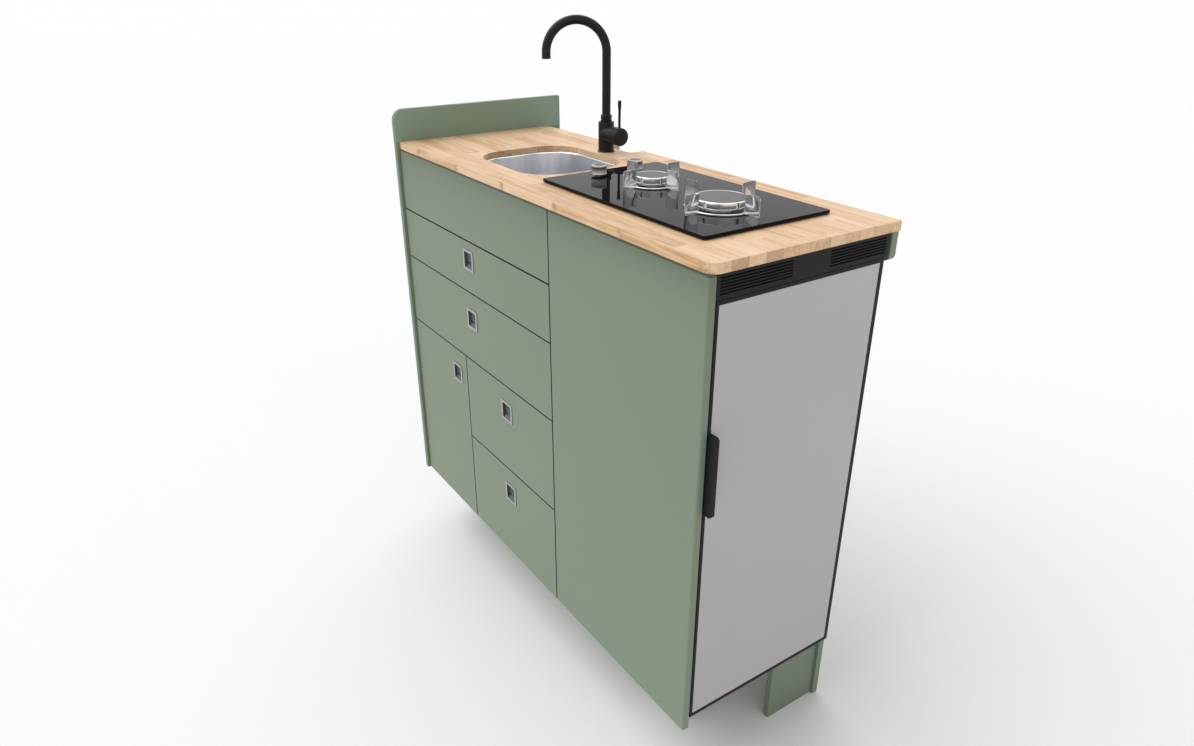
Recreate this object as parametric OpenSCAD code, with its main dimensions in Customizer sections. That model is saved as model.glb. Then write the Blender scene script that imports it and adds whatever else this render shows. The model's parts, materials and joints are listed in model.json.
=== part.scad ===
// Campervan kitchen pod: sink, two-burner hob and slim fridge in one run of painted boards

/* [Worktop] */
// Length of the worktop from the end panel to its right end
worktop_l = 1185; // [1150:1:1300]
// Depth of the worktop
worktop_d = 435; // [430:1:470]
// Thickness of the worktop
worktop_t = 18; // [16:1:22]
// Height of the worktop's top above the floor
worktop_h = 1120; // [1110:1:1180]
// Radius of the front right corner
corner_r = 20; // [5:1:40]
// Radius of the back right corner
back_corner_r = 3; // [1:1:12]
// Radius of the back left corner, behind the end panel's edge
back_left_r = 18; // [4:1:24]
// Width of the pipe notch in the back edge
notch_w = 95; // [60:1:140]
// Depth of the pipe notch
notch_d = 38; // [34:1:38]

/* [Boards] */
// Thickness of every painted board
board_t = 15; // [12:1:16]
// Distance by which the fronts stand proud of the worktop's edge
front_proud = 2; // [0:0.5:4]
// Gap between neighbouring fronts
front_gap = 3; // [2.5:0.5:4]
// Gap between a closed moving front and the carcass behind it
seat_gap = 0.4; // [0.3:0.1:0.6]
// Distance from the back of the carcass to the worktop's back edge
back_inset = 5; // [0:1:12]
// Distance by which the end panel stands proud of the worktop's front edge
end_proud = 10; // [6:1:20]
// Distance by which the end panel passes the worktop's back edge
end_rear = 40; // [0:1:60]
// Height of the end panel above the worktop
end_up = 78; // [40:1:120]
// Radius of the end panel's front top corner
end_r = 28; // [10:1:40]
// Depth of the rails between the drawers
rail_d = 60; // [40:1:64]
// Height of the rear rail
rear_rail_h = 54; // [46:1:60]
// Distance by which the end panel passes the fronts' lower edge
panel_drop = 3; // [0:0.5:8]
// Radius of the outer upright edge beside the fridge
edge_r = 4; // [1:0.5:5]

/* [Layout] */
// Width of the fridge's bay, from the joint with the drawer side to the right end
fridge_bay = 467; // [461:1:480]
// Width of the cupboard at the left
cupboard_w = 308; // [280:1:330]
// Height of the fixed front at the sink
sink_front_h = 150; // [147:1:152]
// Height of the first drawer's front
drawer_1_h = 126; // [124:1:134]
// Height of the second drawer's front
drawer_2_h = 180; // [160:1:190]
// Height of the third drawer's front
drawer_3_h = 227; // [190:1:236]
// Height of the fronts' lower edge above the floor
base_h = 169; // [150:1:175]

/* [Feet] */
// Distance of the front plinth from the worktop's front edge
plinth_back = 105; // [60:1:130]
// Distance of the rear feet from each end
foot_in = 35; // [32:1:60]
// Distance of the front plinth's right end from the worktop's end
plinth_in = 145; // [100:1:180]
// Depth of the short side boards
foot_len = 135; // [90:1:140]
// Width of the feet that the arches leave
foot_w = 95; // [60:1:140]
// Height of the arches
arch_h = 115; // [60:1:130]
// Radius of the arches' corners
arch_r = 30; // [10:1:45]

/* [Wall fixing] */
// Distance between the fixing holes along the back
wall_dx = 900; // [600:1:1000]
// Distance between the upper and the lower fixing holes
wall_dz = 700; // [500:1:760]
// Radius of the fixing holes
wall_r = 3.25; // [2.5:0.25:4]

/* [Drawers] */
// Thickness of the drawer boxes' sides
side_t = 12; // [10:1:14]
// Thickness of the drawer boxes' floors
floor_t = 6; // [4:1:8]
// Height of the floor above the sides' lower edge
floor_up = 8; // [6:1:12]
// Distance between a drawer box and what lies under it
box_lift = 12; // [8:1:16]
// Length of the runners
runner_l = 350; // [300:1:360]
// Height of the fixed runner
runner_h = 35; // [30:1:40]
// Width of the space that a runner fills
runner_w = 13; // [12.5:0.5:14]
// Thickness of the runners' steel
runner_t = 1.5; // [1:0.1:1.8]

/* [Catches] */
// Outer size of the square catch
catch_s = 50; // [46:1:56]
// Width of the catch's window
window_w = 36; // [30:1:38]
// Height of the catch's window
window_h = 38; // [32:1:40]
// Distance by which the bezel stands proud
bezel_t = 1.5; // [1:0.25:2.5]
// Distance of a catch below the upper edge line of its front
catch_drop = 67; // [60:1:80]
// The same distance on the first drawer
catch_drop_1 = 46; // [42:1:50]
// Distance of the door's catch from the door's edge line
catch_in = 54; // [40:1:80]
// Radius of the paddle's pivot pin
paddle_pin_r = 1.5; // [1.25:0.25:2]

/* [Cupboard door] */
// Radius of the hinge pins
hinge_pin_r = 2.5; // [2:0.25:2.75]
// Thickness of the hinge plates
hinge_t = 3; // [2:0.5:4]
// Distance of the hinges from the door's ends
hinge_end = 55; // [30:1:90]

/* [Sink] */
// Distance of the sink's centre from the hob's glass
sink_hob = 189; // [176:1:200]
// Distance of the sink's centre from the worktop's front edge
sink_y = 202.5; // [198:0.5:204]
// Length of the sink opening
sink_w = 297; // [240:1:304]
// Depth of the sink opening, front to back
sink_d = 252; // [220:1:254]
// Depth of the rebate under the worktop that takes the bowl's flange
rebate = 4; // [2:0.5:5]
// Distance by which the bowl's rim shows inside the opening
rim_in = 1; // [0.5:0.25:2]
// Corner radius of the sink opening
sink_r = 80; // [50:1:90]
// Depth of the bowl below the worktop
bowl_deep = 120; // [100:1:124]
// Thickness of the bowl's steel
bowl_t = 1.5; // [1.2:0.1:2]
// Width of the bowl's flange
bowl_flange = 11; // [8:1:12]
// Radius of the waste's body
waste_r = 20; // [16:1:24]
// Radius of the waste's outlet
outlet_r = 12.5; // [10:0.5:13]
// Depth of the waste's body below the bowl
waste_l = 44; // [36:1:50]

/* [Tap] */
// Offset of the tap from the sink's centre, towards the end panel
tap_off = 5; // [0:1:20]
// Distance of the tap from the worktop's front edge
tap_y = 361; // [360:1:366]
// Radius of the tap's body
tap_r = 18.5; // [17:0.5:20]
// Height of the tap's body
tap_h = 69; // [66:1:80]
// Radius of the swivel collar
collar_r = 13; // [12:0.5:15]
// Height of the swivel collar
collar_h = 15; // [10:1:20]
// Radius of the spout pipe
spout_r = 10; // [9:0.25:11]
// Radius of the gooseneck
bend_r = 69; // [60:1:80]
// Height of the gooseneck's centre above the worktop
bend_h = 222; // [200:1:240]
// Length of the straight end below the bend
spout_end = 12.5; // [5:0.5:30]
// Angle of the spout from straight forward
spout_turn = -25; // [-40:1:40]
// Radius of the side housing
housing_r = 20.5; // [18:0.5:22]
// Height of the side housing's axis
housing_h = 41; // [38:1:42]
// Length of the side housing from the tap's axis
housing_l = 46; // [40:1:50]
// Length of the turning cap
cap_l = 17; // [15:1:22]
// Radius of the lever rod
lever_r = 3; // [2.5:0.25:3.5]
// Height of the lever's tip above the worktop
lever_top = 122; // [110:1:140]

/* [Hob] */
// Length of the glass
hob_l = 502; // [490:1:510]
// Depth of the glass, front to back
hob_d = 295; // [285:1:300]
// Distance of the glass from the worktop's right end
hob_right = 98; // [90:1:110]
// Distance of the glass from the worktop's front edge
hob_front = 68; // [64:1:74]
// Thickness of the glass
glass_t = 6; // [5:0.5:8]
// Height of the tray's lip under the glass
tray_lip = 2; // [1:0.5:3]
// Depth of the tray below the worktop's top
tray_deep = 44; // [40:1:46]
// Place of the large burner, as a share of the glass's length from its right end
large_at = 0.243; // [0.235:0.001:0.255]
// Place of the small burner, as a share of the glass's length from its left end
small_at = 0.337; // [0.33:0.001:0.345]
// Place of the small burner, as a share of the glass's depth from its front edge
burner_back = 0.512; // [0.5:0.002:0.52]
// Distance of the large burner in front of the small one
large_fwd = 8; // [0:1:12]
// Radius of the large burner
large_r = 50; // [44:1:52]
// Radius of the small burner
small_r = 35; // [30:1:37]
// Reach of the large pan support from the burner's axis
large_reach = 90; // [86:1:94]
// Reach of the small pan support from the burner's axis
small_reach = 74; // [72:1:78]
// Height of the burners above the glass
burner_h = 20; // [18:1:24]
// Height of the pan supports above the glass
support_h = 36; // [32:1:42]
// Turn of the pan supports on the glass
support_turn = 5; // [0:1:10]
// Distance of the knobs from the glass's left edge
knob_in = 47; // [42:1:50]
// Distance of the front knob from the glass's front edge
knob_y = 108; // [100:1:112]
// Distance between the knobs
knob_dy = 92; // [80:1:100]
// Radius of a knob
knob_r = 16; // [13:0.5:18]
// Height of a knob
knob_h = 20; // [17:1:24]
// Travel of a knob when it is pressed
knob_push = 3; // [2:0.5:4]
// Radius of a spindle
spindle_r = 3; // [2.5:0.25:3.5]
// Radius of the gas inlet pipe
gas_r = 4; // [3:0.5:5]

/* [Fridge] */
// Width of the fridge across its front
fridge_w = 392; // [380:1:396]
// Distance of the door's face from the worktop's right end
face_in = 1.5; // [1:0.5:12]
// Thickness of the door
door_t = 45; // [38:1:50]
// Depth of the cabinet behind the door
cabinet_d = 370; // [340:1:380]
// Thickness of the cabinet's insulated walls
wall_t = 34; // [28:1:38]
// Thickness of the door seal
seal_t = 7; // [6:0.5:9]
// Height of the ventilation grille
grille_h = 43; // [40:1:45]
// Number of slots in each half of the grille
slots = 6; // [4:1:7]
// Width of the dark border at the door's opening side
border = 7; // [5:0.5:12]
// Width of the dark border at the door's hinge side
border_hinge = 13; // [10:0.5:16]
// Distance by which the handle stands out
handle_out = 20; // [14:1:28]
// Height of the handle
handle_h = 156; // [120:1:180]
// Thickness of the handle
handle_t = 9; // [7:0.5:12]
// Height of the handle's middle above the floor
handle_z = 750; // [700:1:800]
// Radius of the door's hinge pins
door_pin_r = 4; // [3:0.25:5]
// Number of bars in a shelf
bars = 15; // [9:1:19]

/* [Fits] */
// Radial clearance of a pin in its bore
fit = 0.05; // [0.03:0.01:0.09]
// Gap between pieces that slide or turn past each other
run_gap = 0.3; // [0.25:0.05:0.5]
// Gap between an inlaid piece and its recess
inlay_gap = 0.2; // [0.1:0.05:0.3]

/* [Hidden] */

green = [0.52, 0.57, 0.49];
timber = [0.90, 0.78, 0.63];
ply = [0.85, 0.75, 0.60];
steel = [0.78, 0.78, 0.78];
dark = [0.16, 0.16, 0.16];
pale = [0.68, 0.66, 0.66];
white = [0.92, 0.92, 0.92];
brass = [0.75, 0.62, 0.30];

eps = 0.01;
$fn = 64;

// Ends of the pod, with the origin under the middle of its outline
handle_over = handle_out - face_in;
x_in = -(board_t + worktop_l + handle_over) / 2 + board_t;
x_end = x_in + worktop_l;
y_edge = -(end_proud + worktop_d + end_rear) / 2 + end_proud;
y_back = y_edge + worktop_d - back_inset;
y_board = y_back - board_t;
y_face = y_edge - front_proud;
y_fb = y_face + board_t;

// Heights of the worktop and of the joint lines between the fronts
z_under = worktop_h - worktop_t;
z_floor = base_h + board_t;
z_j1 = z_under - sink_front_h;
z_j2 = z_j1 - drawer_1_h;
z_j3 = z_j2 - drawer_2_h;
z_j4 = z_j3 - drawer_3_h;
half = board_t / 2;

// Joint lines between the bays
x_par = x_in + cupboard_w;
x_div = x_end - fridge_bay;

// One row per drawer: left and right bay walls, lower and upper joint line, catch drop
bays = [
    [x_in, x_div - half, z_j2, z_j1, catch_drop_1],
    [x_in, x_div - half, z_j3, z_j2, catch_drop],
    [x_par + half, x_div - half, z_j4, z_j3, catch_drop],
    [x_par + half, x_div - half, base_h, z_j4, catch_drop]
];
function front_x0(k) = k < 2 ? x_in + front_gap : x_par + front_gap / 2;
function front_x1(k) = x_div - front_gap / 2;
function front_z0(k) = k == 3 ? base_h : bays[k][2] + front_gap / 2;
function front_z1(k) = bays[k][3] - front_gap / 2;
function catch_x(k) = (front_x0(k) + front_x1(k)) / 2;
function catch_z(k) = bays[k][3] - bays[k][4];
function shelf_top(k) = k == 3 ? z_floor : bays[k][2] + half;

// Catch: a tray set in the front, with a paddle on a pin near its top
tray_w = window_w + 6;
tray_h = window_h + 6;
tray_d = board_t - 1;
tray_t = 2;
scoop_d = tray_d - tray_t;
scoop_h = window_h * 0.36;
pivot_up = window_h / 2 - 5;
pivot_in = 5;
paddle_t = 3;
tail_l = 31;
nose_up = 8;
swing_room = 16;
y_move = y_face - seat_gap;

function box_z0(k) = shelf_top(k) + box_lift;
function box_z1(k) = catch_z(k) + pivot_up - swing_room;
function runner_z(k) = box_z0(k) + floor_up + floor_t;

// Knife hinges of the cupboard door
hinge_x = x_in + front_gap + 9.5;
hinge_y = y_move + half;
hinge_z = [base_h + hinge_end, z_j3 - front_gap / 2 - hinge_end];
eye_r = 5;

// Hob
hob_x0 = x_end - hob_right - hob_l;
hob_y0 = y_edge + hob_front;
z_glass0 = worktop_h + tray_lip;
z_glass = z_glass0 + glass_t;
z_tray = worktop_h - tray_deep;
tray_in = 17;
tray_wall = 1.2;
z_knob = z_glass + knob_push + 0.4;
z_socket = z_glass0 - 18;
by = hob_y0 + hob_d * burner_back;
kx = hob_x0 + knob_in;
knob_ys = [hob_y0 + knob_y, hob_y0 + knob_y + knob_dy];

// One row per burner: place in X and Y, radius, radius of its cup, reach of its pan support
burners = [
    [hob_x0 + hob_l * (1 - large_at), by - large_fwd, large_r, large_r - 14, large_reach],
    [hob_x0 + hob_l * small_at, by, small_r, small_r - 14, small_reach]
];

// Sink and tap
sx = hob_x0 - sink_hob;
sy = y_edge + sink_y;
z_bowl = z_under - bowl_deep;
z_rim = z_under + rebate;
tx = sx - tap_off;
ty = y_edge + tap_y;

// Fridge
fy0 = y_fb + 1;
fy1 = fy0 + fridge_w;
fx_face = x_end - face_in;
fx_in = fx_face - door_t;
fx_cab = fx_in - seal_t - run_gap;
fx_back = fx_cab - cabinet_d;
z_grille = z_under - grille_h;
z_door1 = z_grille - 1;
z_door0 = z_floor + 10;
z_cab0 = z_floor + 6;
z_cab1 = z_door1 - 10;
door_ax = fx_face - 10;
door_ay = fy1 - 10;
bracket_t = 3;
bracket_w = 28;
niche_d = 150;
niche_h = 180;
liner_t = 10;
liner_y0 = fy0 + wall_t + 12;
liner_y1 = fy1 - wall_t - 12;
liner_z0 = z_door0 + wall_t + 16;

// Plain shapes

// A block between two corners
module block(a, b) {
    translate(a) cube(b - a);
}

// What a corner of radius r loses
module corner_cut(r) {
    difference() {
        translate([-1, -1]) square(r + 1);
        translate([r, r]) circle(r);
    }
}

// A rectangle with its own radius at each corner: front left, front right, back right, back left
module cornered(w, d, r) {
    difference() {
        square([w, d]);
        if (r[0] > 0) corner_cut(r[0]);
        if (r[1] > 0) translate([w, 0]) mirror([1, 0]) corner_cut(r[1]);
        if (r[2] > 0) translate([w, d]) rotate(180) corner_cut(r[2]);
        if (r[3] > 0) translate([0, d]) mirror([0, 1]) corner_cut(r[3]);
    }
}

// A rectangle about the origin with four equal corners
module rounded(w, d, r) {
    translate([-w / 2, -d / 2]) cornered(w, d, [r, r, r, r]);
}

// An outline drawn in X and Z, given thickness along Y from y0
module upright(y0, t) {
    translate([0, y0 + t, 0]) rotate([90, 0, 0]) linear_extrude(t) children();
}

// An outline drawn in Y and Z, given thickness along X from x0
module sideways(x0, t) {
    translate([x0, 0, 0]) rotate([90, 0, 90]) linear_extrude(t) children();
}

// Carcass

// Left end panel, higher and deeper than the rest, with a rounded top corner
module end_panel() {
    y0 = y_edge - end_proud;
    y1 = y_edge + worktop_d + end_rear;
    z0 = base_h - panel_drop;
    h = worktop_h + end_up - z0;
    color(green) sideways(x_in - board_t, board_t)
        translate([y0, z0]) cornered(y1 - y0, h, [2, 2, 5, end_r]);
}

// Upright board between the drawers and the fridge, notched at the top for the hob's tray
module divider_panel() {
    notch_y0 = hob_y0 + tray_in - 4;
    notch_y1 = hob_y0 + hob_d - tray_in + 4;
    color(green) difference() {
        block([x_div - half, y_fb, z_floor], [x_div + half, y_board, z_under]);
        block([x_div - board_t, notch_y0, z_tray - 4], [x_div + board_t, notch_y1, worktop_h]);
    }
}

// Upright board between the cupboard and the lower drawers
module partition_panel() {
    color(green) block([x_par - half, y_fb, z_floor], [x_par + half, y_board, z_j3 - half]);
}

// Bottom board, with air slots under the cooling unit
module base_panel() {
    slot_l = 90;
    color(green) difference() {
        block([x_in, y_fb, base_h], [x_end - foot_in + 7, y_board, z_floor]);
        hinge_relief(base_h);
        for (i = [0:5])
            translate([fx_back + 20 + i * 20, (fy0 + fy1) / 2, base_h - 1])
                linear_extrude(board_t + 2) rounded(8, slot_l, 3.9);
    }
}

// Shelf over the cupboard and the lower drawers
module mid_shelf() {
    color(green) difference() {
        block([x_in, y_fb, z_j3 - half], [x_div - half, y_board, z_j3 + half]);
        hinge_relief(z_j3 - half);
    }
}

// Corner that the edge of the opening cupboard door needs in a board
module hinge_relief(z) {
    block([x_in - 1, y_fb - 1, z - 1], [hinge_x + 11.5, y_fb + 5, z + board_t + 1]);
}

// Cross rails between the drawers and the rear rail under the worktop
module rails() {
    color(green) {
        for (z = [z_j1, z_j2])
            block([x_in, y_fb, z - half], [x_div - half, y_fb + rail_d, z + half]);
        block([x_par + half, y_fb, z_j4 - half], [x_div - half, y_fb + rail_d, z_j4 + half]);
        difference() {
            upright(y_board, board_t) translate([x_in, z_under - rear_rail_h])
                cornered(x_end - 1 - x_in, rear_rail_h, [0, 12, 0, 0]);
            block([tx - notch_w / 2, y_board - 1, z_under - 24],
                  [tx + notch_w / 2, y_back + 1, z_under + 1]);
            wall_holes(z_under - rear_rail_h / 2);
        }
    }
}

// Two fixing holes through the rear boards at one height
module wall_holes(z) {
    for (s = [-1, 1])
        translate([(x_in + x_end) / 2 + s * wall_dx / 2, y_board - 1, z])
            rotate([-90, 0, 0]) cylinder(r = wall_r, h = board_t + 2);
}

// Back board down to the floor, with an arch between its feet, a pipe window and an air window
module back_panel() {
    x1 = x_end - foot_in + 7;
    z1 = z_under - rear_rail_h;
    w = x1 - x_in;
    vent = niche_d - 20;
    color(green) difference() {
        upright(y_board, board_t) difference() {
            translate([x_in, 0]) square([w, z1]);
            translate([x_in + foot_in + foot_w, -50])
                cornered(w - 2 * (foot_in + foot_w), arch_h + 50, [0, 0, arch_r, arch_r]);
            translate([sx, z1 - 70]) rounded(250, 90, 20);
            translate([fx_back + niche_d * 0.6, z_floor + niche_h * 0.67])
                rounded(vent, vent + 20, 15);
        }
        wall_holes(z_under - rear_rail_h / 2 - wall_dz);
    }
}

// Tall fixed panel beside the fridge
module fridge_side_panel() {
    x0 = x_div + front_gap / 2;
    color(green) translate([x0, y_face, base_h]) linear_extrude(z_under - base_h)
        cornered(x_end - 1 - x0, board_t, [0, edge_r, 2, 0]);
}

// Fixed front at the sink
module sink_front() {
    color(green) block([front_x0(0), y_face, z_j1 + front_gap / 2],
                       [front_x1(0), y_fb, z_under]);
}

// Set-back plinth with an arch, and the short side boards of the four feet
module plinth_boards() {
    y0 = y_edge + plinth_back;
    x0 = x_in + foot_in;
    x1 = x_end - plinth_in;
    color(green) {
        upright(y0, board_t) difference() {
            translate([x0, 0]) square([x1 - x0, base_h]);
            translate([x0 + foot_w, -50])
                cornered(x1 - x0 - 2 * foot_w, arch_h + 50, [0, 0, arch_r, arch_r]);
        }
        for (x = [x0, x1 - board_t])
            block([x, y0 + board_t, 0], [x + board_t, y0 + foot_len, base_h]);
        for (x = [x0, x_end - foot_in - board_t])
            block([x, y_board - foot_len, 0], [x + board_t, y_board, base_h]);
    }
}

// Worktop

// Timber slab with openings for the sink, the hob's tray and the tap, the pipe notch, and a
// rebate underneath for the sink's flange
module worktop() {
    cut_l = hob_l - 2 * tray_in + 8;
    cut_d = hob_d - 2 * tray_in + 8;
    notch_r = 6;
    color(timber) translate([0, 0, z_under]) difference() {
        linear_extrude(worktop_t) difference() {
            translate([x_in, y_edge])
                cornered(worktop_l, worktop_d, [0, corner_r, back_corner_r, back_left_r]);
            translate([sx, sy]) rounded(sink_w, sink_d, sink_r);
            translate([hob_x0 + hob_l / 2, hob_y0 + hob_d / 2]) rounded(cut_l, cut_d, 8);
            translate([tx - notch_w / 2, y_edge + worktop_d - notch_d])
                cornered(notch_w, notch_d + 1, [notch_r, notch_r, 0, 0]);
        }
        translate([tx, ty, -1]) cylinder(r = tap_r - 4, h = worktop_t + 2);
        translate([sx, sy, -1]) linear_extrude(rebate + 1)
            rounded(sink_w + 2 * (bowl_flange + inlay_gap), sink_d + 2 * (bowl_flange + inlay_gap),
                    sink_r + bowl_flange);
    }
}

// Steel angles, drawer keeps and hinge plates that are screwed to the carcass
module cabinet_fittings() {
    color(steel) {
        for (x = [x_in + 60, x_div - 90]) angle_bracket(x, y_board, 180);
        for (x = [x_div + 60, x_end - 140]) angle_bracket(x, y_board, 180);
        for (k = [0:3]) keep(catch_x(k), catch_z(k), bays[k][3] - half);
        keep(x_par - catch_in, z_j3 - catch_drop, z_j3 - half);
        for (z = hinge_z) hinge_plate(z);
    }
}

// Angle under the worktop, with a screw hole in each leg, its upright leg on the rear rail
module angle_bracket(x, y, turn) {
    leg = 25;
    t = 2;
    translate([x, y, z_under]) rotate(turn) difference() {
        union() {
            translate([0, 0, -t]) cube([leg, leg, t]);
            translate([0, 0, -leg]) cube([leg, t, leg]);
        }
        translate([leg / 2, leg * 0.6, -leg]) cylinder(r = 2.2, h = leg + 1);
        translate([leg / 2, -1, -leg * 0.6]) rotate([-90, 0, 0]) cylinder(r = 2.2, h = leg);
    }
}

// Keep that hangs from the board above a catch and ends just over the catch's nose
module keep(x, z_catch, z_board) {
    w = 20;
    t = 2;
    y0 = y_fb + side_t + 2;
    z0 = z_catch + pivot_up + nose_up + run_gap + 0.2;
    difference() {
        union() {
            block([x - w / 2, y0, z0], [x + w / 2, y0 + t, z_board]);
            block([x - w / 2, y0, z_board - t], [x + w / 2, y0 + 22, z_board]);
        }
        translate([x, y0 + 13, z_board - 3]) cylinder(r = 2.2, h = 4);
    }
}

// Hinge plate: an eye round the door's pin and a flange on the end panel
module hinge_plate(z) {
    flange_h = 30;
    y1 = y_fb + 45;
    color(steel) difference() {
        union() {
            translate([hinge_x, hinge_y, z]) cylinder(r = eye_r, h = hinge_t);
            block([x_in, y_fb + 2, z], [hinge_x + eye_r - 0.5, y1, z + hinge_t]);
            block([hinge_x - 4, hinge_y, z], [hinge_x + 4, y_fb + 3, z + hinge_t]);
            block([x_in, y_fb + 8, z - flange_h / 2], [x_in + 2, y1, z + flange_h / 2]);
        }
        translate([hinge_x, hinge_y, z - 1]) cylinder(r = hinge_pin_r + fit, h = hinge_t + 2);
        for (s = [-1, 1])
            translate([x_in - 1, y1 - 12, z + hinge_t / 2 + s * 9])
                rotate([0, 90, 0]) cylinder(r = 2, h = 4);
    }
}

// Drawers

// Cross-section of a fixed runner, its back on a wall at x = 0, open towards +X
module runner_outer() {
    w = runner_w - 2;
    polygon([
        [0, 0], [w, 0], [w, runner_t], [runner_t, runner_t],
        [runner_t, runner_h - runner_t], [w, runner_h - runner_t], [w, runner_h], [0, runner_h]
    ]);
}

// Cross-section of a moving runner, its back on the drawer at x = runner_w, open towards -X
module runner_inner() {
    z0 = runner_t + run_gap;
    z1 = runner_h - z0;
    x0 = runner_t + 1;
    x1 = runner_w;
    polygon([
        [x0, z0], [x1, z0], [x1, z1], [x0, z1],
        [x0, z1 - runner_t], [x1 - runner_t, z1 - runner_t],
        [x1 - runner_t, z0 + runner_t], [x0, z0 + runner_t]
    ]);
}

// A left and a right runner of drawer k with the given cross-section
module runner_pair(k, y0) {
    for (side = [0, 1])
        translate([bays[k][side], 0, runner_z(k)]) mirror([side, 0, 0])
            upright(y0, runner_l) children();
}

// Channels on the bay walls
module runners_fixed() {
    color(steel) for (k = [0:3]) runner_pair(k, y_fb + 2) runner_outer();
}

// Front board of drawer k, with the opening for its catch
module drawer_front(k) {
    color(green) catch_opening(catch_x(k), catch_z(k))
        block([front_x0(k), y_move, front_z0(k)],
              [front_x1(k), y_move + board_t, front_z1(k)]);
}

// Children with the through opening that a catch's tray needs
module catch_opening(x, z) {
    difference() {
        children();
        block([x - tray_w / 2 - inlay_gap, y_move - 1, z - tray_h / 2 - inlay_gap],
              [x + tray_w / 2 + inlay_gap, y_move + board_t + 1, z + tray_h / 2 + inlay_gap]);
    }
}

// Box of drawer k: four walls, a raised floor and a dipped front wall
module drawer_box(k) {
    x0 = bays[k][0] + runner_w;
    x1 = bays[k][1] - runner_w;
    y0 = y_move + board_t;
    y1 = y0 + runner_l;
    z0 = box_z0(k);
    z1 = box_z1(k);
    dip_w = (x1 - x0) * 0.6;
    dip = 12;
    color(ply) difference() {
        block([x0, y0, z0], [x1, y1, z1]);
        block([x0 + side_t, y0 + side_t, z0 + floor_up + floor_t],
              [x1 - side_t, y1 - side_t, z1 + 1]);
        block([x0 + side_t, y0 + side_t, z0 - 1],
              [x1 - side_t, y1 - side_t, z0 + floor_up]);
        upright(y0 - 1, side_t + 2) translate([(x0 + x1 - dip_w) / 2, z1 - dip])
            cornered(dip_w, dip + 5, [dip - 1, dip - 1, 0, 0]);
    }
}

// Steel of drawer k: the moving runners and the catch's tray
module drawer_fittings(k) {
    color(steel) {
        runner_pair(k, y_move + board_t) runner_inner();
        catch_tray(catch_x(k), catch_z(k));
    }
}

// Catch's tray: bezel, a recess whose floor slopes up to its back, pin holes, the tail's slot
module catch_tray(x, z) {
    pin_z = z + pivot_up;
    difference() {
        union() {
            upright(y_move - bezel_t, bezel_t) translate([x, z]) rounded(catch_s, catch_s, 2);
            block([x - tray_w / 2, y_move - eps, z - tray_h / 2],
                  [x + tray_w / 2, y_move + tray_d, z + tray_h / 2]);
        }
        sideways(x - window_w / 2, window_w) translate([y_move, z]) polygon([
            [-bezel_t - 1, -window_h / 2], [0, -window_h / 2], [scoop_d, scoop_h - window_h / 2],
            [scoop_d, window_h / 2], [-bezel_t - 1, window_h / 2]
        ]);
        block([x - 5, y_move, pin_z - 10], [x + 5, y_move + tray_d + 1, pin_z + 4]);
        translate([x - tray_w / 2 - 1, y_move + pivot_in, pin_z])
            rotate([0, 90, 0]) cylinder(r = paddle_pin_r + fit, h = tray_w + 2);
    }
}

// Paddle: a curved finger plate on a pin, with a tail that ends in a nose
module catch_paddle(x, z) {
    pin_z = z + pivot_up;
    w = window_w - 2 * run_gap;
    plate_l = window_h / 2;
    y_pin = y_move + pivot_in;
    color(dark) {
        translate([x - tray_w / 2, y_pin, pin_z])
            rotate([0, 90, 0]) cylinder(r = paddle_pin_r, h = tray_w);
        sideways(x - w / 2, w) translate([y_pin, pin_z]) {
            circle(2.6);
            translate([-1.5, -plate_l]) square([paddle_t, plate_l]);
            translate([-1.5 + paddle_t / 2, -plate_l]) circle(paddle_t / 2);
        }
        sideways(x - 3, 6) translate([y_pin, pin_z]) polygon([
            [0, -1.5], [tail_l, -1.5], [tail_l, 2], [tail_l - 1, nose_up],
            [tail_l - 4, nose_up], [tail_l - 5, 2], [0, 2]
        ]);
    }
}

// Cupboard door

// Door board with its catch opening, hinge slots and pin holes
module cupboard_door() {
    x0 = x_in + front_gap;
    slot_x1 = hinge_x + eye_r + 1;
    color(green) difference() {
        catch_opening(x_par - catch_in, z_j3 - catch_drop)
            block([x0, y_move, base_h],
                  [x_par - front_gap / 2, y_move + board_t, z_j3 - front_gap / 2]);
        for (z = hinge_z) {
            block([x0 - 1, hinge_y - eye_r - 0.5, z - 0.5],
                  [slot_x1, y_move + board_t + 1, z + hinge_t + 0.5]);
            translate([hinge_x, hinge_y, z - 12]) cylinder(r = hinge_pin_r, h = hinge_t + 24);
        }
    }
}

// Steel of the door: two hinge pins and the catch's tray
module cupboard_door_fittings() {
    color(steel) {
        for (z = hinge_z)
            translate([hinge_x, hinge_y, z - 12]) cylinder(r = hinge_pin_r, h = hinge_t + 24);
        catch_tray(x_par - catch_in, z_j3 - catch_drop);
    }
}

module cupboard_door_paddle() {
    catch_paddle(x_par - catch_in, z_j3 - catch_drop);
}

// Sink

// One face of the bowl: a rounded pan that narrows downwards, grown by g
module bowl_form(g, z0, z1) {
    taper = 10;
    foot_r = 26 + g;
    r = sink_r - rim_in + g;
    w = sink_w / 2 - rim_in + g;
    d = sink_d / 2 - rim_in + g;
    hull() {
        for (sx1 = [-1, 1], sy1 = [-1, 1]) {
            translate([sx1 * (w - r), sy1 * (d - r), z1 - 0.5])
                cylinder(r = r, h = 0.5, $fn = 48);
            translate([sx1 * (w - r), sy1 * (d - r), z0 + foot_r])
                rotate_extrude($fn = 48)
                    intersection() {
                        translate([r - taper - foot_r, 0]) circle(foot_r, $fn = 32);
                        translate([0, -foot_r]) square([r, foot_r]);
                    }
        }
    }
}

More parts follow.
